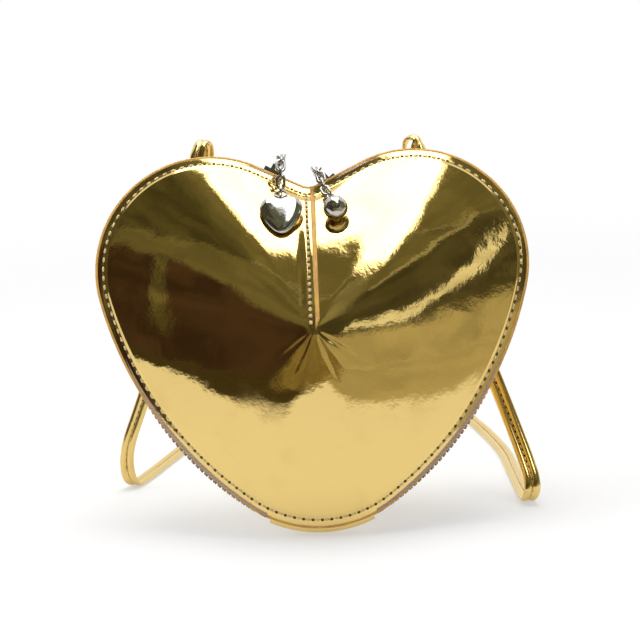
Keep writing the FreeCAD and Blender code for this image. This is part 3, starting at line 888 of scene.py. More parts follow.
@dataclass
class Panel:
    """One gold half: its bulged panel, painted edge, stitching and sewn dart, in millimetres."""

    side: Side
    film: Material
    paint: Material
    thread: Material
    # The dark finish of the needle-hole discs, which paints the shade inside the holes.
    hole: Material
    half_count: int = 380
    level_count: int = 78
    level_crowd: float = 1.15
    level_reach: float = 0.994
    cut_edge: tuple[Pair, ...] = (
        (-3.2, 4.3), (-1.3, 3.45), (-0.4, 3.1), (-0.05, 3.35), (0.0, 3.8), (-0.05, 4.35), (-0.4, 4.7),
    )
    dimples: tuple[Pair, ...] = (
        (-1.0, 0.0), (-2.0, 0.0), (-3.0, 0.0), (-3.6, 0.03), (-4.0, 0.06), (-4.4, 0.03), (-5.0, 0.0),
    )
    fall: float = 0.46
    bead_out: float = 0.95
    bead_deep: float = 0.95
    bead_depth: float = 4.25
    bead_in: float = 0.85
    bead_turns: int = 12
    bead_crowd: float = 0.4
    sway: float = 0.42
    sway_pitch: float = 34.0
    ripple: float = 0.07
    ripple_pitch: float = 10.0
    seeds: Pair = (3.7, 9.0)
    still_rim: float = 0.12  # the share of the bulge over which waves grow from its rim
    still_lift: float = 0.2  # the share of that over which the dart does
    stitch_in: float = 4.0
    stitch_depth: float = 6.38
    edge_stitch: StitchRow = StitchRow(pitch=4.5, share=0.62, width=1.25, height=0.8, hole=0.85)
    edge_hole_lift: float = 0.05
    glance: float = 0.0005  # how far ahead a stitch aims, as a share of the way round
    dart: Dart = Dart()
    dart_stitch: StitchRow = StitchRow(pitch=3.3, share=0.66, width=1.8, height=1.1, hole=0.95)
    dart_hole_lift: float = 0.06
    dart_stitch_up: float = 1.5
    dart_stitch_read: float = 0.8  # how often the face is read, in pitches
    dart_edge_half: float = 1.1
    dart_edge_rise: float = 0.6
    dart_edge_shift: float = 0.75
    dart_edge_in: float = 0.15
    dart_edge_ends: Pair = (-1.0, -1.0)  # above the apex, and out from the outline
    dart_edge_rows: int = 90
    dart_edge_turns: int = 10
    dart_edge_thin: float = 0.08
    ray_from: float = 90.0

    def margin_rows(self, around: np.ndarray) -> np.ndarray:
        """The margin that falls from the bulge to the cut edge, dimpled along its stitches.

        Args:
            around: Shares of the way round.

        Returns:
            Points by row and place.
        """
        level = DOME.face - self.fall * DOME.margin
        margin = [(offset, level - self.fall * offset - dimple) for offset, dimple in self.dimples]
        return OUTLINE.rows(around, [*self.cut_edge, *margin]) * self.side.mirror

    def form(self) -> Form:
        """The panel's points and faces.

        Returns:
            The panel.
        """
        around = DOME.around(self.half_count)
        shares = 1 - np.linspace(0.0, 1.0, self.level_count) ** self.level_crowd * self.level_reach
        dome = DOME.shell(self.side, DOME.face, around, shares)
        flat = dome.reshape(-1, 3)
        inward = np.repeat(eased(1 - shares, 0.0, self.still_rim), len(around))
        lift = self.dart.relief(flat[:, 0], flat[:, 2]) * eased(inward, 0.0, self.still_lift)
        seed = self.seeds[0] * self.side.value
        sway = self.sway * waves(flat, self.sway_pitch, seed)
        sway += self.ripple * waves(flat, self.ripple_pitch, seed + self.seeds[1])
        flat[:, 1] += self.side.value * (lift + sway * inward)
        rows = np.concatenate([self.margin_rows(around), flat.reshape(dome.shape)])
        back, wide = self.side is Side.BACK, len(around)
        made = Form().net(rows, ring=True, flip=back)
        fan = [(j - wide, (j + 1) % wide - wide, 0) for j in range(wide)]
        made.add(rows[-1].mean(axis=0)[None, :], [face[::-1] for face in fan] if back else fan)
        return made

    def bead(self) -> Form:
        """The painted bead round the panel's cut edge.

        Returns:
            The bead.
        """
        around = DOME.around(self.half_count, self.bead_crowd)
        profile = [
            (self.bead_out * math.cos(turn) - self.bead_in, self.bead_depth + self.bead_deep * math.sin(turn))
            for turn in (*spun(self.bead_turns), 0.0)
        ]
        rows = OUTLINE.rows(around, profile) * self.side.mirror
        return Form().net(rows, ring=True, flip=self.side is Side.FRONT)

    def edge_seam(self) -> tuple[Form, Form]:
        """The stitches round the margin, and the needle holes between them as dark discs of painted shade.

        Returns:
            The stitches and the holes.
        """
        row, made = self.edge_stitch, (Form(), Form())
        shares = OUTLINE.even(-self.stitch_in, row.pitch)
        shifts = ((row.sew, 0.0, 0.0), (row.pierce, 0.5 / len(shares), self.edge_hole_lift))
        for form, (add, shift, lift) in zip(made, shifts):
            places = (shares + shift) % 1
            flat = OUTLINE.line(places, -self.stitch_in)
            ahead = unit(OUTLINE.line((places + self.glance) % 1, -self.stitch_in) - flat)
            aside = np.stack([-ahead[:, 1], ahead[:, 0]], axis=1) * self.fall
            out = unit(stood(aside, self.side.value))
            add(form, stood(flat, self.side.value * self.stitch_depth) + lift * out, stood(ahead, 0.0), out)
        return made

    def on_face(self, tree: BVHTree, x: float, heights: np.ndarray) -> tuple[np.ndarray, np.ndarray]:
        """Points on the panel's face straight above one another.

        Args:
            tree: The panel's search tree.
            x: Their place across.
            heights: Their heights.

        Returns:
            The points, and the directions that the face looks to there.
        """
        points, out = [], []
        aim = Vector((0.0, -self.side.value, 0.0))
        for z in heights:
            spot, normal, _, _ = tree.ray_cast(Vector((x, self.side.value * self.ray_from, z)), aim)
            if spot is not None:
                points.append(spot)
                out.append(normal if normal.dot(aim) < 0 else -normal)
        return np.array(points), np.array(out)

    def dart_seam(self, tree: BVHTree) -> tuple[Form, Form]:
        """The stitches beside the dart's flap, and the needle holes between them as dark discs of painted
        shade.

        Args:
            tree: The panel's search tree.

        Returns:
            The stitches and the holes.
        """
        row, made = self.dart_stitch, (Form(), Form())
        top = OUTLINE.line(np.array([0.0]), -self.stitch_in)[0, 1]
        heights = np.arange(DOME.apex + self.dart_stitch_up, top, row.pitch * self.dart_stitch_read)
        points, out = self.on_face(tree, self.dart.edge - self.dart.stitch_in, heights)
        along = np.gradient(points, axis=0)
        lengths = lengths_along(points)
        marks = np.arange(row.pitch / 2, lengths[-1], row.pitch)
        shifts = ((row.sew, 0.0, 0.0), (row.pierce, row.pitch / 2, self.dart_hole_lift))
        for form, (add, shift, lift) in zip(made, shifts):
            spots, ahead, up = (read_along(marks + shift, lengths, rows) for rows in (points, along, out))
            add(form, spots + lift * up, ahead, up)
        return made

    def dart_edge(self, tree: BVHTree) -> Form:
        """The painted cut edge of the dart's flap.

        Args:
            tree: The panel's search tree.

        Returns:
            The edge.
        """
        low, high = self.dart_edge_ends
        top = OUTLINE.line(np.array([0.0]), high)[0, 1]
        heights = np.linspace(DOME.apex + low, top, self.dart_edge_rows)
        points, out = self.on_face(tree, self.dart.edge + self.dart_edge_in, heights)
        thin = eased(np.arange(len(points)) / len(points), 0.0, self.dart_edge_thin)[:, None]
        spin = spun(self.dart_edge_turns)
        across = self.dart_edge_half * thin * (np.cos(spin) + self.dart_edge_shift)
        rise = self.dart_edge_rise * thin * np.sin(spin)
        rows = points[:, None] + across[..., None] * np.array([1.0, 0.0, 0.0]) + rise[..., None] * out[:, None]
        return Form().net(rows, ring=True, caps=True, flip=True)

    def build(self) -> list[Piece]:
        """Makes the half's pieces and hides the node that its panel stands for.

        Returns:
            The pieces.
        """
        word, body = self.side.word, self.side.body
        form = self.form()
        tree = form.tree()
        edge, edge_holes = self.edge_seam()
        dart, dart_holes = self.dart_seam(tree)
        # The hole pieces are dark discs of painted shade.
        trims = (
            ("painted_edge", self.bead(), self.paint),
            ("edge_stitches", edge, self.thread),
            ("edge_holes", edge_holes, self.hole),
            ("dart_edge", self.dart_edge(tree), self.paint),
            ("dart_stitches", dart, self.thread),
            ("dart_holes", dart_holes, self.hole),
        )
        skin = fitted(form.piece(f"{word}_gold_panel", self.film), body, f"{word}_panel")
        return [skin, *(fitted(trim.piece(f"{word}_{name}", finish), body) for name, trim, finish in trims)]


@dataclass
class Inside:
    """One half's pressed foam board and its cloth lining, in millimetres."""

    side: Side
    foam: Material
    cloth: Material
    glue: float = 0.15
    board: float = 2.0
    lining: float = 0.6
    lip: float = 5.7
    half_count: int = 150
    level_count: int = 40
    crowd: float = 0.5
    top_share: float = 0.004  # the smallest level line
    line_count: int = 400
    pucker: float = 0.25
    pucker_pitch: float = 14.0
    pucker_seed: float = 5.0

    def layer(self, top: float, thick: float, pucker: float) -> Form:
        """A thin shell under the bulge, cut off at the zip's space.

        Args:
            top: The depth of its outer base line.
            thick: Its thickness.
            pucker: How far its inner face is puckered.

        Returns:
            The shell.
        """
        around = DOME.around(self.half_count, self.crowd)
        lines = np.linspace(1.0, self.top_share, self.line_count)
        shells = []
        for base in (top - thick, top):
            clear = lines[base + DOME.rise(lines) >= self.lip]
            shares = clear[0] * np.linspace(1.0, self.top_share, self.level_count)
            shells.append(DOME.shell(self.side, base, around, shares))
        flat = shells[0].reshape(-1, 3)
        sunk = pucker * np.abs(waves(flat, self.pucker_pitch, self.pucker_seed))
        flat[:, 1] = self.side.value * np.maximum(self.side.value * flat[:, 1] - sunk, self.lip)
        rows = np.concatenate([flat.reshape(shells[0].shape)[::-1], shells[1]])
        return Form().net(rows, ring=True, flip=self.side is Side.BACK, caps=True)

    def build(self) -> list[Piece]:
        """Makes the board and the lining and hides the nodes they stand for.

        Returns:
            The two pieces.
        """
        word, top = self.side.word, DOME.rim - self.glue
        board = self.layer(top, self.board, 0.0).piece(f"{word}_foam_board", self.foam)
        fitted(board, self.side.body, f"{word}_board")
        lining = self.layer(top - self.board - self.glue, self.lining, self.pucker)
        lining = lining.piece(f"{word}_cloth_lining", self.cloth)
        return [board, fitted(lining, self.side.body, f"{word}_lining")]


@dataclass
class Zip:
    """The zip's two tapes and rows of teeth, in millimetres."""

    cloth: Material
    metal: Material
    tape: float = 0.6
    flange: float = 5.6
    edge: float = 1.2
    clear: float = 0.03
    turn_in: float = 1.0
    bulge: float = 0.12
    bulge_depth: float = 3.4
    way_count: int = 721
    pitch: float = 2.85
    tooth_along: float = 1.1
    tooth_half: float = 1.4
    tooth_root: float = 3.2
    tooth_reach: float = 0.7
    tooth_slim: float = 0.78
    tooth_round: float = 0.28
    end: float = 26.2
    stop: float = 3.0
    low: float = 59.0
    slider_angles: Pair = (121.0, 131.0)

    def tape_form(self, side: Side) -> Form:
        """One tape: the sewn flange and the web out to the teeth.

        Args:
            side: The half.

        Returns:
            The tape.
        """
        shares = np.linspace(0.0, 1.0, self.way_count)
        place = ZIP_LINE.line(shares)
        shares = shares[(np.abs(place[:, 0]) >= self.end) | (place[:, 1] >= self.low)]
        around = np.concatenate([shares[shares > 0.5], shares[shares <= 0.5]])
        half, rim = self.tape / 2, DOME.rim - self.clear
        web = half + self.bulge, self.bulge_depth
        profile = [
            (-self.flange, rim), (half, rim), (half, rim - self.turn_in), web, (half, self.edge),
            (-half, self.edge), (-web[0], web[1]), (-half, rim - self.tape), (-self.flange, rim - self.tape),
        ]
        rows = ZIP_LINE.rows(around % 1.0, profile) * side.mirror
        return Form().net(rows.transpose(1, 0, 2), ring=True, caps=True, flip=side is Side.FRONT)

    def tooth(self, side: Side) -> tuple[np.ndarray, list[tuple[int, ...]]]:
        """One rounded tooth at zero, with X along the tape and Z out.

        Args:
            side: The half.

        Returns:
            Its points and faces.
        """
        made = bmesh.new()
        bmesh.ops.create_cube(made, size=1.0)
        for vert in made.verts:
            near_head = vert.co.y * side.value < 0
            slim = self.tooth_slim if near_head else 1.0
            vert.co.x *= self.tooth_along * slim
            vert.co.z *= 2 * self.tooth_half * slim
            vert.co.y = side.value * (-self.tooth_reach if near_head else self.tooth_root)
        bmesh.ops.bevel(
            made, geom=made.edges[:], offset=self.tooth_round, segments=2, affect="EDGES", profile=0.5
        )
        bmesh.ops.recalc_face_normals(made, faces=made.faces[:])
        made.verts.index_update()
        points = np.array([vert.co[:] for vert in made.verts])
        faces = [tuple(vert.index for vert in face.verts) for face in made.faces]
        made.free()
        return points, faces

    def teeth_form(self, side: Side) -> Form:
        """One row of teeth on both sides of the heart, from the sliders to the gusset.

        Args:
            side: The half.

        Returns:
            The row.
        """
        points, faces = self.tooth(side)
        made = Form()
        for hand, angle in zip(Hand, self.slider_angles):
            along = ZIP_LINE.radius * math.radians(ZIP_LINE.cleft - angle)
            along += self.pitch / 2 if side is Side.FRONT else 0.0
            spot, turn = ZIP_LINE.track(along, hand)
            while abs(spot[0]) >= self.end + self.stop + self.pitch or spot[1] >= self.low:
                c, s = math.cos(turn), math.sin(turn)
                axes = np.array([[s, 0.0, -hand.value * c], [0.0, 1.0, 0.0], [hand.value * c, 0.0, s]])
                made.add(np.array([spot[0], 0.0, spot[1]]) + points @ axes, faces)
                along += self.pitch
                spot, turn = ZIP_LINE.track(along, hand)
        return made

    def build(self) -> list[Piece]:
        """Makes the tapes and teeth and hides the nodes they stand for.

        Returns:
            The four pieces.
        """
        made = []
        for side in Side:
            tape = self.tape_form(side).piece(f"{side.word}_woven_tape", self.cloth)
            teeth = self.teeth_form(side).piece(f"{side.word}_metal_teeth", self.metal)
            made.append(fitted(tape, side.body, f"{side.word}_zip_tape"))
            made.append(fitted(teeth, side.body, f"{side.word}_zip_teeth"))
        return made


@dataclass
class Gusset:
    """The gold strip under the purse between its halves, in millimetres."""

    film: Material
    half: float = 25.5
    proud: float = 1.8
    under: float = 1.4
    low: float = 60.0
    front_gap: float = 0.9
    front_round: tuple[Pair, ...] = ((0.0, 0.1), (0.7, 0.45), (1.3, 1.0), (1.65, 1.6))
    back_round: tuple[Pair, ...] = ((0.2, 0.25), (0.8, 0.0))
    flat_ends: Pair = (2.3, 0.9)
    flat_count: int = 8
    way_count: int = 3001
    columns: int = 70

    def form(self) -> Form:
        """The strip, rounded at its edges.

        Returns:
            The strip.
        """
        front, back = -DOME.rim + self.front_gap, DOME.rim
        shares = np.linspace(0.0, 1.0, self.way_count)
        line = OUTLINE.line(shares, self.proud)
        near = shares[(np.abs(line[:, 0]) <= self.half) & (line[:, 1] < self.low)]
        around = np.linspace(near[0], near[-1], self.columns)
        flat = np.linspace(front + self.flat_ends[0], back - self.flat_ends[1], self.flat_count)
        profile = [
            (-self.under, front),
            *((offset, front + depth) for offset, depth in self.front_round),
            *((self.proud, depth) for depth in flat),
            *((self.proud - offset, back - depth) for offset, depth in self.back_round),
            (-self.under, back),
        ]
        return Form().net(OUTLINE.rows(around, profile).transpose(1, 0, 2), ring=True, caps=True, flip=True)

    def build(self) -> list[Piece]:
        """Makes the strip, pressed flat where it stands, and hides the node it stands for.

        Returns:
            The strip.
        """
        made = self.form().piece("gold_gusset", self.film)
        for vert in made.data.vertices:
            vert.co.z = max(vert.co.z, 0.0)
        return [fitted(made, "back_half", "bottom_gusset")]


@dataclass
class ShoulderStrap:
    """The flat gold strap, folded over behind the lobes and laid on the floor, in metres."""

    film: Material
    thread: Material
    wide: float = 0.008
    thick: float = 0.0024
    length: float = 1.006
    groove: StitchRow = StitchRow(pitch=3.4, share=0.72, width=0.62, height=0.5)
    groove_lift: float = 0.18
    ridge_count: int = 21
    ridge_powers: Pair = (0.9, 0.6)
    start: Point = (-0.055, 0.06765, 0.17386)
    end: Point = (0.055, 0.06765, 0.17386)
    end_width: Point = (1.0, 0.0, 0.0)
    way: tuple[tuple[Point, Point], ...] = (
        ((-0.0545, 0.0704, 0.1818), (0.75, -0.66, 0)), ((-0.0496, 0.0774, 0.1824), (0.75, -0.66, 0)),
        ((-0.0510, 0.0798, 0.1660), (0.85, -0.5, 0)), ((-0.0570, 0.0808, 0.1420), (0.88, -0.42, 0.1)),
        ((-0.0640, 0.0815, 0.1180), (0.87, -0.42, 0.2)), ((-0.0780, 0.0820, 0.0820), (0.85, -0.42, 0.3)),
        ((-0.0910, 0.0825, 0.0460), (0.83, -0.44, 0.3)), ((-0.1015, 0.0830, 0.0200), (0.86, -0.44, 0.2)),
        ((-0.0995, 0.0825, 0.0014), (0.97, -0.2, 0)), ((-0.0920, 0.1010, 0.0014), (0.95, -0.3, 0)),
        ((-0.0823, 0.1310, 0.0014), (0.95, -0.3, 0)), ((-0.0700, 0.1670, 0.0019), (0.95, -0.3, 0)),
        ((-0.0600, 0.2080, 0.0033), (0.9, -0.25, 0.35)), ((-0.0500, 0.2580, 0.0046), (0.5, -0.3, 0.85)),
        ((-0.0280, 0.3020, 0.0042), (0, 0, 1)), ((0.0080, 0.3220, 0.0042), (0, 0, 1)),
        ((0.0460, 0.3040, 0.0045), (-0.3, -0.4, 0.9)), ((0.0680, 0.2580, 0.0040), (-0.8, -0.3, 0.5)),
        ((0.0810, 0.2060, 0.0021), (-0.97, -0.15, 0.1)), ((0.0920, 0.1630, 0.0014), (-0.98, -0.18, 0)),
        ((0.0993, 0.1200, 0.0014), (-1, -0.08, 0)), ((0.1005, 0.0880, 0.0014), (-1, 0, 0)),
        ((0.1016, 0.0620, 0.0014), (-1, 0, 0)), ((0.1026, 0.0440, 0.0014), (-1, 0, 0)),
        ((0.1033, 0.0305, 0.0014), (-1, 0, 0)), ((0.1058, 0.0275, 0.0115), (-0.97, 0, -0.2)),
        ((0.1020, 0.0410, 0.0240), (-0.95, 0, -0.3)), ((0.0920, 0.0600, 0.0520), (-0.95, 0, -0.3)),
        ((0.0800, 0.0720, 0.0840), (-0.93, 0.1, -0.35)), ((0.0670, 0.0790, 0.1180), (-0.93, 0.1, -0.35)),
        ((0.0550, 0.0800, 0.1480), (-0.8, 0.5, -0.25)), ((0.0480, 0.0780, 0.1680), (-0.3, 0.95, 0)),
        ((0.0490, 0.0750, 0.1805), (0.3, 0.95, 0)), ((0.0560, 0.0706, 0.1805), (0.36, 0.93, 0)),
    )

    def line(self) -> np.ndarray:
        """Points read from a smooth curve through the strap's way.

        Returns:
            Rows of X, Y and Z.
        """
        route = [self.start, *(point for point, _ in self.way), self.end]
        curve = bpy.data.curves.new("strap_line", "CURVE")
        curve.dimensions = "3D"
        spline = curve.splines.new("NURBS")
        spline.points.add(len(route) - 1)
        for point, place in zip(spline.points, route):
            point.co = (*place, 1.0)
        spline.order_u = 3
        spline.use_endpoint_u = True
        spline.resolution_u = 14
        holder = bpy.data.objects.new("strap_line", curve)
        bpy.context.scene.collection.objects.link(holder)
        bpy.context.view_layer.update()
        mesh = bpy.data.meshes.new_from_object(holder)
        points = np.array([vert.co[:] for vert in mesh.vertices])
        bpy.data.objects.remove(holder)
        bpy.data.meshes.remove(mesh)
        bpy.data.curves.remove(curve)
        return points

    def axes(self, points: np.ndarray) -> tuple[np.ndarray, np.ndarray]:
        """The strap's own directions along its line.

        Args:
            points: The line.

        Returns:
            The directions across it and out of its face.
        """
        hints = np.array([self.end_width, *(width for _, width in self.way), self.end_width], dtype=float)
        last = len(hints) - 2.0
        knots = np.concatenate([[0.0], np.arange(last) + 0.5, [last]])
        widths = read_along(np.linspace(0.0, last, len(points)), knots, hints)
        ahead = unit(np.gradient(points, axis=0))
        across = unit(widths - ahead * np.sum(widths * ahead, axis=1)[:, None])
        return across, np.cross(ahead, across)

    def sweep(self, points: np.ndarray, across: np.ndarray, out: np.ndarray) -> Form:
        """The strap's section, with two rolled ridges on both faces, carried along a line.

        Args:
            points: The line in metres.
            across: The directions of its width.
            out: The directions out of its face.

        Returns:
            The swept form.
        """
        w = np.linspace(-1.0, 1.0, self.ridge_count)
        bow, full = self.ridge_powers
        ridge = np.abs(np.sin(math.pi * np.abs(w) ** bow)) ** full
        top = np.stack([w * self.wide, self.thick * ridge], axis=1) / 2
        section = np.concatenate([top, (top * np.array([1.0, -1.0]))[-2:0:-1]])[..., None]
        rows = points[:, None] + section[:, 0] * across[:, None] + section[:, 1] * out[:, None]
        return Form().net(rows / MM, ring=True, caps=True, flip=True)

    def seam(self, points: np.ndarray, out: np.ndarray) -> Form:
        """The stitches in the strap's grooves.

        Args:
            points: The line in metres.
            out: The directions out of its face.

        Returns:
            The stitches.
        """
        points = points / MM
        lengths = lengths_along(points)
        marks = np.arange(self.groove.pitch, lengths[-1] - self.groove.pitch, self.groove.pitch)
        ahead = np.gradient(points, axis=0)
        spots, along, up = (read_along(marks, lengths, rows) for rows in (points, ahead, out))
        made = Form()
        for face in (up, -up):
            self.groove.sew(made, spots + face * self.groove_lift, along, face)
        return made

    def build(self) -> list[Piece]:
        """Makes the strap with its stitches, and logs how long it is.

        Returns:
            The strap and its stitches.
        """
        points = self.line()
        across, out = self.axes(points)
        strap = self.sweep(points, across, out).piece("gold_strap", self.film, upright=False)
        seam = self.seam(points, out).piece("strap_stitches", self.thread, upright=False)
        fitted(strap, "back_half", "shoulder_strap")
        fitted(seam, "back_half")
        LOG.info("strap line is %.4f m long", lengths_along(points)[-1])
        return [strap, seam]


@dataclass
class Chain:
    """One pull's chain: oval links of round wire that lie where the plain links lie, in millimetres."""

    hand: Hand
    metal: Material
    wire: float = 1.5
    long: float = 7.6
    wide: float = 5.1
    around: int = 40
    girth: int = 12

    def plain(self) -> list[np.ndarray]:
        """The plain links' points.

        Returns:
            Each link's rows of X, Y and Z.
        """
        mesh = bpy.data.objects[f"{self.hand.word}_pull_chain"].data
        points = np.array([vert.co[:] for vert in mesh.vertices]) / MM
        spots, number = np.unique(np.round(points, 3), axis=0, return_inverse=True)
        pairs = number.reshape(-1)[np.array([edge.vertices[:] for edge in mesh.edges])]
        mark = np.arange(len(spots))
        while (mark[pairs[:, 0]] != mark[pairs[:, 1]]).any():
            low = mark[pairs].min(axis=1)
            for ends in pairs.T:
                np.minimum.at(mark, ends, low)
        return [spots[mark == value] for value in np.unique(mark)]

    def link(self) -> np.ndarray:
        """One link at zero, long on X and flat on Z.

        Returns:
            Points by place along the wire and round it.
        """
        bend = (self.wide - self.wire) / 2
        run = (self.long - self.wire) / 2 - bend
        turn = spun(self.around) + math.pi / self.around
        spin = spun(self.girth)
        reach = bend + self.wire / 2 * np.cos(spin)
        x = np.cos(turn)[:, None] * reach + run * np.sign(np.cos(turn))[:, None]
        z = np.tile(self.wire / 2 * np.sin(spin), (self.around, 1))
        rows = np.stack([x, np.sin(turn)[:, None] * reach, z], axis=2)
        return np.concatenate([rows, rows[:1]])

    def build(self) -> list[Piece]:
        """Makes the chain and hides the node it stands for.

        Returns:
            The chain.
        """
        link, form, word = self.link(), Form(), self.hand.word
        for points in self.plain():
            _, _, axes = np.linalg.svd(points - points.mean(axis=0), full_matrices=False)
            axes[2] = np.cross(axes[0], axes[1])
            own = points @ axes.T
            form.net((link + (own.min(axis=0) + own.max(axis=0)) / 2) @ axes, ring=True, flip=True)
        made = form.piece(f"{word}_oval_chain", self.metal, upright=False)
        return [fitted(made, f"{word}_pull", f"{word}_pull_chain")]


@dataclass
class HeartCharm:
    """The puffed metal heart with its eye, hung flat on the dome, in millimetres."""

    metal: Material
    eye: Point = (-13.853, -18.728, 160.007)
    eye_up: float = 21.45
    eye_radius: float = 1.8
    eye_wire: float = 1.0
    eye_turns: tuple[int, int] = (36, 12)
    lie: float = math.radians(30.03)
    tilt: float = math.radians(8.0)
    lift: float = 1.25
    line: HeartLine = HeartLine(
        across=3.9, up=14.6, radius=6.4, cleft=116.0, side=-9.0, side_radius=20.5, tip=-48.0, reach=0.6
    )
    middle: float = 13.0
    thick: float = 3.0
    back_share: float = 0.5
    levels: int = 34
    top_share: float = 0.01
    half_count: int = 120
    crowd: float = 0.3
    rim_count: int = 700
    nearest: float = 0.02  # keeps the swell finite at the rim

    def puff(self, flat: np.ndarray, rim: np.ndarray) -> np.ndarray:
        """How far the heart swells over the points inside its rim, from 0 at the rim to 1.

        Args:
            flat: Rows of X and Z.
            rim: The rim's rows, closed.

        Returns:
            The swell of each row.
        """
        ends = np.roll(rim, -1, axis=0)
        lengths = np.linalg.norm(ends - rim, axis=1)
        away = np.linalg.norm(flat[:, None, :] - ((rim + ends) / 2)[None], axis=2)
        depth = ((lengths / np.maximum(away, self.nearest) ** 3).sum(axis=1)) ** -0.5
        share = np.clip(depth / depth.max(), 0.0, 1.0)
        return np.sqrt(1 - (1 - share) ** 2)

    def hung(self, points: np.ndarray) -> np.ndarray:
        """Points of the flat heart, tip at zero, laid against the upright purse."""
        return leaned(points - np.array([0.0, 0.0, self.eye_up]), self.lie - self.tilt) + np.array(self.eye)

    def form(self) -> Form:
        """The pillow of the heart and the ring of its eye.

        Returns:
            The charm.
        """
        around = DOME.around(self.half_count, self.crowd)
        rim = self.line.line(np.linspace(0.0, 1.0, self.rim_count, endpoint=False))
        shares = np.sin(np.linspace(math.pi / 2, 0.0, self.levels)) * (1 - self.top_share) + self.top_share
        front = np.array([stood(self.line.line(around, 0.0, share, self.middle), 0.0) for share in shares])
        front[..., 1] = -self.thick * self.puff(front.reshape(-1, 3)[:, ::2], rim).reshape(self.levels, -1)
        front[0, :, 1] = 0.0
        back = front * np.array([1.0, -self.back_share, 1.0])
        pillow = np.concatenate([back[::-1], front[1:]]) - np.array([0.0, self.lift, 0.0])
        made = Form().net(self.hung(pillow), ring=True, caps=True)
        turn, spin = (spun(count) for count in self.eye_turns)
        reach = self.eye_radius + self.eye_wire / 2 * np.cos(spin)
        x = np.tile(np.sin(spin) * self.eye_wire / 2, (len(turn), 1))
        ring = np.stack([x, np.cos(turn)[:, None] * reach, np.sin(turn)[:, None] * reach + self.eye_up], axis=2)
        return made.net(self.hung(np.concatenate([ring, ring[:1]])), ring=True)

    def build(self) -> list[Piece]:
        """Makes the charm and hides the node it stands for."""
        made = self.form().piece("puffed_heart", self.metal)
        return [fitted(made, "heart_hang", "heart_charm")]


@dataclass
class Fittings:
    """The metal pieces that keep their plain form, with their plating."""

    silver: Material
    brass: Material
    silver_nodes: tuple[str, ...] = (
        "left_slider", "right_slider", "left_pull_ring", "right_pull_ring", "left_charm_ring",
        "right_charm_ring", "ball_charm",
    )
    brass_nodes: tuple[str, ...] = ("zip_end_stops",)

    def dress(self) -> None:
        """Plates the pieces."""
        for names, finish in ((self.silver_nodes, self.silver), (self.brass_nodes, self.brass)):
            for name in names:
                data = bpy.data.objects[name].data
                data.materials.clear()
                data.materials.append(finish)
                LOG.info("%s: plated", name)


def aimed(name: str, data: Any, place: Point, target: Point, roll: float = 0.0) -> Piece:
    """Hangs a lamp or a camera at a place and turns it to look at a target.

    Args:
        name: Its name.
        data: The lamp or the camera.
        place: Where it hangs.
        target: What it looks at.
        roll: Its turn about the way that it looks.

    Returns:
        The hung lamp or camera.
    """
    made = bpy.data.objects.new(name, data)
    made.location = place
    made.rotation_mode = "QUATERNION"
    look = (Vector(target) - Vector(place)).to_track_quat("-Z", "Y")
    made.rotation_quaternion = look @ Quaternion((0.0, 0.0, 1.0), roll)
    bpy.context.scene.collection.objects.link(made)
    return made


@dataclass(frozen=True)
class Lamp:
    """One soft studio light, in metres."""

    name: str
    place: Point
    aim: Point
    wide: float
    tall: float
    power: float

    def build(self) -> None:
        """Hangs the light."""
        light = bpy.data.lights.new(self.name, "AREA")
        light.shape = "RECTANGLE"
        light.size, light.size_y = self.wide, self.tall
        light.energy = self.power
        # The lamp is left out of reflections; the soft_box card paints its reflection instead.
        aimed(self.name, light, self.place, self.aim).visible_glossy = False


@dataclass(frozen=True)
class Card:
    """One glowing studio card that only the mirror film and the plating show, a painted reflection, in metres.
    """

    name: str
    corners: tuple[Point, ...]
    tint: Colour
    feather: float = 0.08
    sway: float = 0.2
    glow: float = 1.0
    cloud: Grain = Grain(0.5, 2.0, (0.3, 0.7))

    def rings(self) -> tuple[np.ndarray, np.ndarray]:
        """The corners drawn in and drawn out by half the soft edge.

        Returns:
            The inner and the outer corners.
        """
        points = np.array(self.corners)
        ahead = unit(np.roll(points, -1, axis=0) - points)
        face = unit(np.cross(points, np.roll(points, -1, axis=0)).sum(axis=0))
        first, second = np.cross(ahead, face), np.cross(np.roll(ahead, 1, axis=0), face)
        out = (first + second) / (1 + (first * second).sum(axis=1))[:, None]
        return points - out * self.feather / 2, points + out * self.feather / 2

    def build(self) -> None:
        """Stands the card up."""
        r = Recipe(self.name)
        edge = r.node("ShaderNodeAttribute", {"attribute_name": "fade"}, None, "Fac")
        dim, lit = (tuple(c * (1 + k * self.sway) for c in self.tint) for k in (-1, 1))
        material = r.surface({
            "Base Color": (0.0, 0.0, 0.0),
            "Roughness": 1.0,
            "Specular IOR Level": 0.0,
            "Emission Color": r.blend(self.cloud.stepped(r), dim, lit),
            "Emission Strength": self.glow,
            "Alpha": edge.eased(0.0, 1.0),
        })
        inner, outer = self.rings()
        count = len(inner)
        form = Form()
        sides = [(i, (i + 1) % count, (i + 1) % count + count, i + count) for i in range(count)]
        form.add(np.concatenate([inner, outer]) / MM, [tuple(range(count)), *sides])
        made = form.piece(self.name, material, upright=False)
        fade = made.data.attributes.new("fade", "FLOAT", "POINT")
        fade.data.foreach_set("value", [1.0] * count + [0.0] * count)
        # Hidden from the camera, from shadows and from soft light: the card only paints reflections.
        made.visible_camera = made.visible_shadow = made.visible_diffuse = False


def across(y: float, *corners: Pair) -> tuple[Point, ...]:
    """Corners, by their X and Z, of a card that stands across the studio at Y."""
    return tuple((x, y, z) for x, z in corners)


def beside(x: float, *corners: Pair) -> tuple[Point, ...]:
    """Corners, by their Y and Z, of a card that stands at the studio's side at X."""
    return tuple((x, y, z) for y, z in corners)


def level(z: float, *corners: Pair) -> tuple[Point, ...]:
    """Corners, by their X and Y, of a card that lies level at Z."""
    return tuple((x, y, z) for x, y in corners)


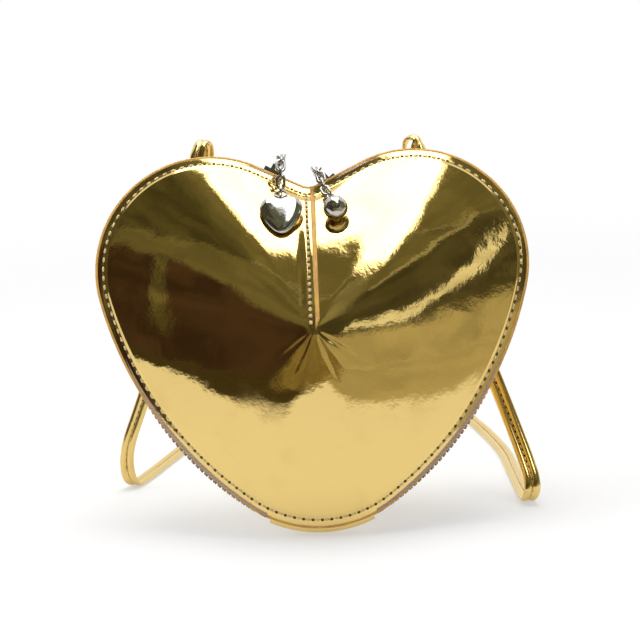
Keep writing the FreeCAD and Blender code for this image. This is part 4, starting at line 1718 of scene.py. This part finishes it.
@dataclass
class Studio:
    """The camera, the pale floor, the lights and the glowing cards of painted reflection round the purse, in
    metres.
    """

    target: Point = (0.00275, 0.0273, 0.0994)
    eye: Point = (0.00275, -1.0445, 0.3469)
    lens: float = 126.8
    sensor: float = 36.0
    roll: float = math.radians(-2.33)
    floor_half: float = 6.0
    floor_steps: int = 9
    floor_down: float = 0.0002
    floor_tint: Colour = (0.86, 0.86, 0.86)
    floor_speck: Colour = (0.8, 0.8, 0.8)
    floor_grain: Grain = Grain(0.004, 3.0)
    speck_share: float = 0.1
    # The share of white glow on the floor even under the purse, which paints the purse's shadow lighter.
    floor_lift: float = 0.45
    floor_fade: Pair = (0.25, 0.75)
    floor_middle: float = 0.15
    sky_light: float = 0.55
    lamps: tuple[Lamp, ...] = (
        Lamp("top_light", (0.0, 0.15, 1.15), (0.0, 0.05, 0.1), wide=0.75, tall=0.5, power=9.0),
        Lamp("left_light", (-1.2, -0.2, 0.9), (0.0, 0.05, 0.1), wide=0.5, tall=0.7, power=5.0),
    )
    # Painted reflections: glowing cards, seen only in the mirror film and the plating. They paint a soft box
    # overhead, a dark room round the purse, and dark and olive patches on the pale floor in front of it, where
    # the floor itself is pale.
    cards: tuple[Card, ...] = (
        Card("soft_box", level(
            1.2, (0.46, -0.70), (0.47, -0.50), (0.39, -0.20), (0.40, 0.85), (-0.45, 0.85), (-0.38, 0.02),
            (-0.15, -0.04), (-0.10, -0.13), (-0.06, -0.23), (0.0, -0.28), (0.08, -0.38), (0.18, -0.53),
        ), WHITE, feather=0.07, sway=0.1, glow=4.5),
        Card("floor_left", level(
            0.003, (-3.4, -3.4), (-0.06, -3.4), (-0.06, -0.42), (-0.16, -0.24), (-0.34, -0.34), (-0.65, -0.48),
            (-3.4, -0.7),
        ), (0.06, 0.048, 0.022), feather=0.07),
        Card("floor_right", level(
            0.003, (-0.06, -3.4), (3.4, -3.4), (3.4, -0.12), (0.30, -0.18), (0.20, -0.27), (0.11, -0.44),
            (-0.06, -0.42),
        ), (0.47, 0.43, 0.29), feather=0.07),
        Card("floor_middle", level(
            0.004, (-1.9, -3.4), (1.4, -3.4), (0.33, -0.70), (0.10, -0.46), (-0.07, -0.40), (-0.33, -0.56),
        ), (0.25, 0.20, 0.085), feather=0.09),
        Card("wall_middle", across(
            -1.57, (-0.85, -0.1), (0.35, -0.1), (0.14, 0.2), (-0.5, 0.3), (-0.75, 0.2),
        ), (0.25, 0.20, 0.085), feather=0.16),
        Card("wall_left", across(
            -1.6, (-3.4, -0.2), (-0.5, -0.2), (-0.5, 0.36), (-0.71, 0.62), (-0.94, 1.04), (-1.29, 1.57),
            (-1.65, 1.86), (-2.3, 2.2), (-3.4, 2.2),
        ), (0.058, 0.035, 0.024), feather=0.22, sway=0.3),
        Card("wall_left_gap", across(
            -1.55, (-2.32, 0.3), (-2.04, 0.3), (-2.10, 2.2), (-2.32, 2.2),
        ), (0.13, 0.12, 0.06), feather=0.16, sway=0.4),
        Card("wall_low", across(
            -1.58, (-0.5, -0.2), (3.4, -0.2), (3.4, 0.40), (1.85, 0.47), (0.72, 0.32), (-0.5, 0.12),
        ), (0.47, 0.43, 0.29), feather=0.14),
        Card("wall_right", across(
            -1.6, (-0.5, 0.1), (3.4, 0.3), (3.4, 3.2), (2.62, 2.9), (1.72, 2.2), (1.11, 1.68), (-0.06, 1.9),
            (-0.5, 0.9),
        ), (0.085, 0.08, 0.045), feather=0.22, sway=0.3),
        Card("wall_right_pale", across(
            -1.59, (0.30, 1.1), (0.80, 1.2), (0.95, 2.5), (0.30, 2.7),
        ), (0.26, 0.25, 0.16), feather=0.3),
        Card("streak", across(
            -1.54, (0.9, 0.42), (1.5, 0.47), (1.74, 0.66), (2.2, 0.98), (2.75, 1.75), (2.85, 2.5), (2.55, 1.85),
            (2.15, 1.26), (1.72, 0.86), (1.5, 0.6), (1.0, 0.53),
        ), (0.92, 0.92, 0.85), feather=0.07),
        Card("pale_line", across(
            -1.53, (1.02, 1.60), (2.68, 2.86), (2.60, 2.97), (0.98, 1.68),
        ), (0.40, 0.39, 0.28), feather=0.06),
        Card("wall_top", across(-1.7, (-3.4, 0.3), (3.4, 0.3), (3.4, 3.2), (-3.4, 3.2)), (0.16, 0.15, 0.08)),
        Card("ceiling_left", level(
            3.15, (-3.6, -1.9), (-1.0, -1.9), (-0.7, 0.5), (-3.6, 0.5),
        ), (0.082, 0.077, 0.038), feather=0.8, sway=0.3),
        Card("ceiling", level(3.2, (-3.4, -1.7), (3.4, -1.7), (3.4, 0.4), (-3.4, 0.4)), (0.18, 0.17, 0.09)),
        Card("side_left", beside(-3.4, (-3.4, 0.0), (1.2, 0.0), (1.2, 3.2), (-3.4, 3.2)), (0.10, 0.09, 0.05)),
        Card("side_right", beside(3.4, (-3.4, 0.0), (1.2, 0.0), (1.2, 3.2), (-3.4, 3.2)), (0.20, 0.19, 0.12)),
    )

    def camera(self) -> None:
        """Sets the camera up."""
        data = bpy.data.cameras.new("camera")
        data.lens, data.sensor_width = self.lens, self.sensor
        data.dof.use_dof = False
        bpy.context.scene.camera = aimed("camera", data, self.eye, self.target, self.roll)

    def seen(self, r: Recipe) -> Signal:
        """1 for what is seen straight, mirrored or through glass, and 0 for soft light.

        Args:
            r: The finish that asks.

        Returns:
            That signal.
        """
        straight, mirrored, through = (
            r.node("ShaderNodeLightPath", out=f"Is {way} Ray") for way in ("Camera", "Glossy", "Transmission")
        )
        return r.math("MINIMUM", straight + mirrored + through, 1.0)

    def floor(self) -> None:
        """Lays the floor, which keeps the purse's shadow, painted lighter by a white glow under the purse, and
        fades to white far off.
        """
        r = Recipe("pale floor")
        wide, deep = r.axis("X"), r.axis("Y") - self.floor_middle
        away = r.math("SQRT", wide * wide + deep * deep)
        matt = r.node("ShaderNodeBsdfPrincipled", None, {
            "Base Color": r.blend(self.floor_grain.on(r) * self.speck_share, self.floor_tint, self.floor_speck),
            "Roughness": 0.7,
            "Specular IOR Level": 0.2,
        })
        white = r.node("ShaderNodeEmission", None, {"Color": WHITE, "Strength": 1.0})
        # Painted light: the floor glows white in part even under the purse, which lightens its shadow, and
        # glows fully far off.
        far = (self.floor_lift + (1 - self.floor_lift) * away.eased(*self.floor_fade)) * self.seen(r)
        material = r.show(r.node("ShaderNodeMixShader", None, {0: far, 1: matt, 2: white}))
        steps = np.linspace(-self.floor_half, self.floor_half, self.floor_steps)
        rows = np.array([[(x, y, -self.floor_down) for x in steps] for y in steps])
        Form().net(rows / MM).piece("pale_floor", material, upright=False)

    def world(self) -> None:
        """Gives a white surround that lights softly."""
        bpy.context.scene.world = bpy.data.worlds.new("studio")
        r = Recipe("studio", bpy.context.scene.world)
        soft, white = (
            r.node("ShaderNodeBackground", None, {"Color": WHITE, "Strength": light})
            for light in (self.sky_light, 1.0)
        )
        mixed = r.node("ShaderNodeMixShader", None, {0: self.seen(r), 1: soft, 2: white})
        r.show(mixed, "ShaderNodeOutputWorld")

    def build(self) -> None:
        """Builds the studio."""
        self.camera()
        self.floor()
        self.world()
        for thing in (*self.lamps, *self.cards):
            thing.build()
        bpy.context.scene.view_settings.view_transform = "Standard"


def main() -> None:
    """Builds the studio and the purse, piece by piece."""
    logging.basicConfig(level=logging.INFO, format="%(name)s: %(message)s")
    Studio().build()
    film = GoldFilm().material()
    strap_film = GoldFilm(
        "gold strap film", roughness=0.14, ripple=Grain(0.004, 3.0, bend=0.3), ripple_depth=0.00003
    ).material()
    paint, thread, hole = (finish.material() for finish in (EDGE_PAINT, GOLD_THREAD, NEEDLE_HOLE_SHADE))
    foam = Foam().material()
    tape = WovenCloth("zip tape", (0.62, 0.43, 0.30), (0.36, 0.24, 0.16), pitch=0.0005, warp="Y").material()
    lining = WovenCloth("lining cloth", (0.11, 0.095, 0.08), (0.035, 0.03, 0.026), pitch=0.0006).material()
    brass = PlatedMetal("dark brass", (0.40, 0.31, 0.15), (0.22, 0.17, 0.085), roughness=0.22).material()
    silver = PlatedMetal("silver plate", (0.54, 0.53, 0.52), (0.36, 0.35, 0.34), roughness=0.05).material()
    builders: list[Any] = [ShoulderStrap(strap_film, thread)]
    for side in Side:
        builders += [Panel(side, film, paint, thread, hole), Inside(side, foam, lining)]
    builders += [Zip(tape, brass), Gusset(film), *(Chain(hand, silver) for hand in Hand), HeartCharm(silver)]
    for builder in builders:
        for piece in builder.build():
            LOG.info("%s: %d faces", piece.name, len(piece.data.polygons))
    Fittings(silver, brass).dress()


if __name__ == "__main__":
    main()
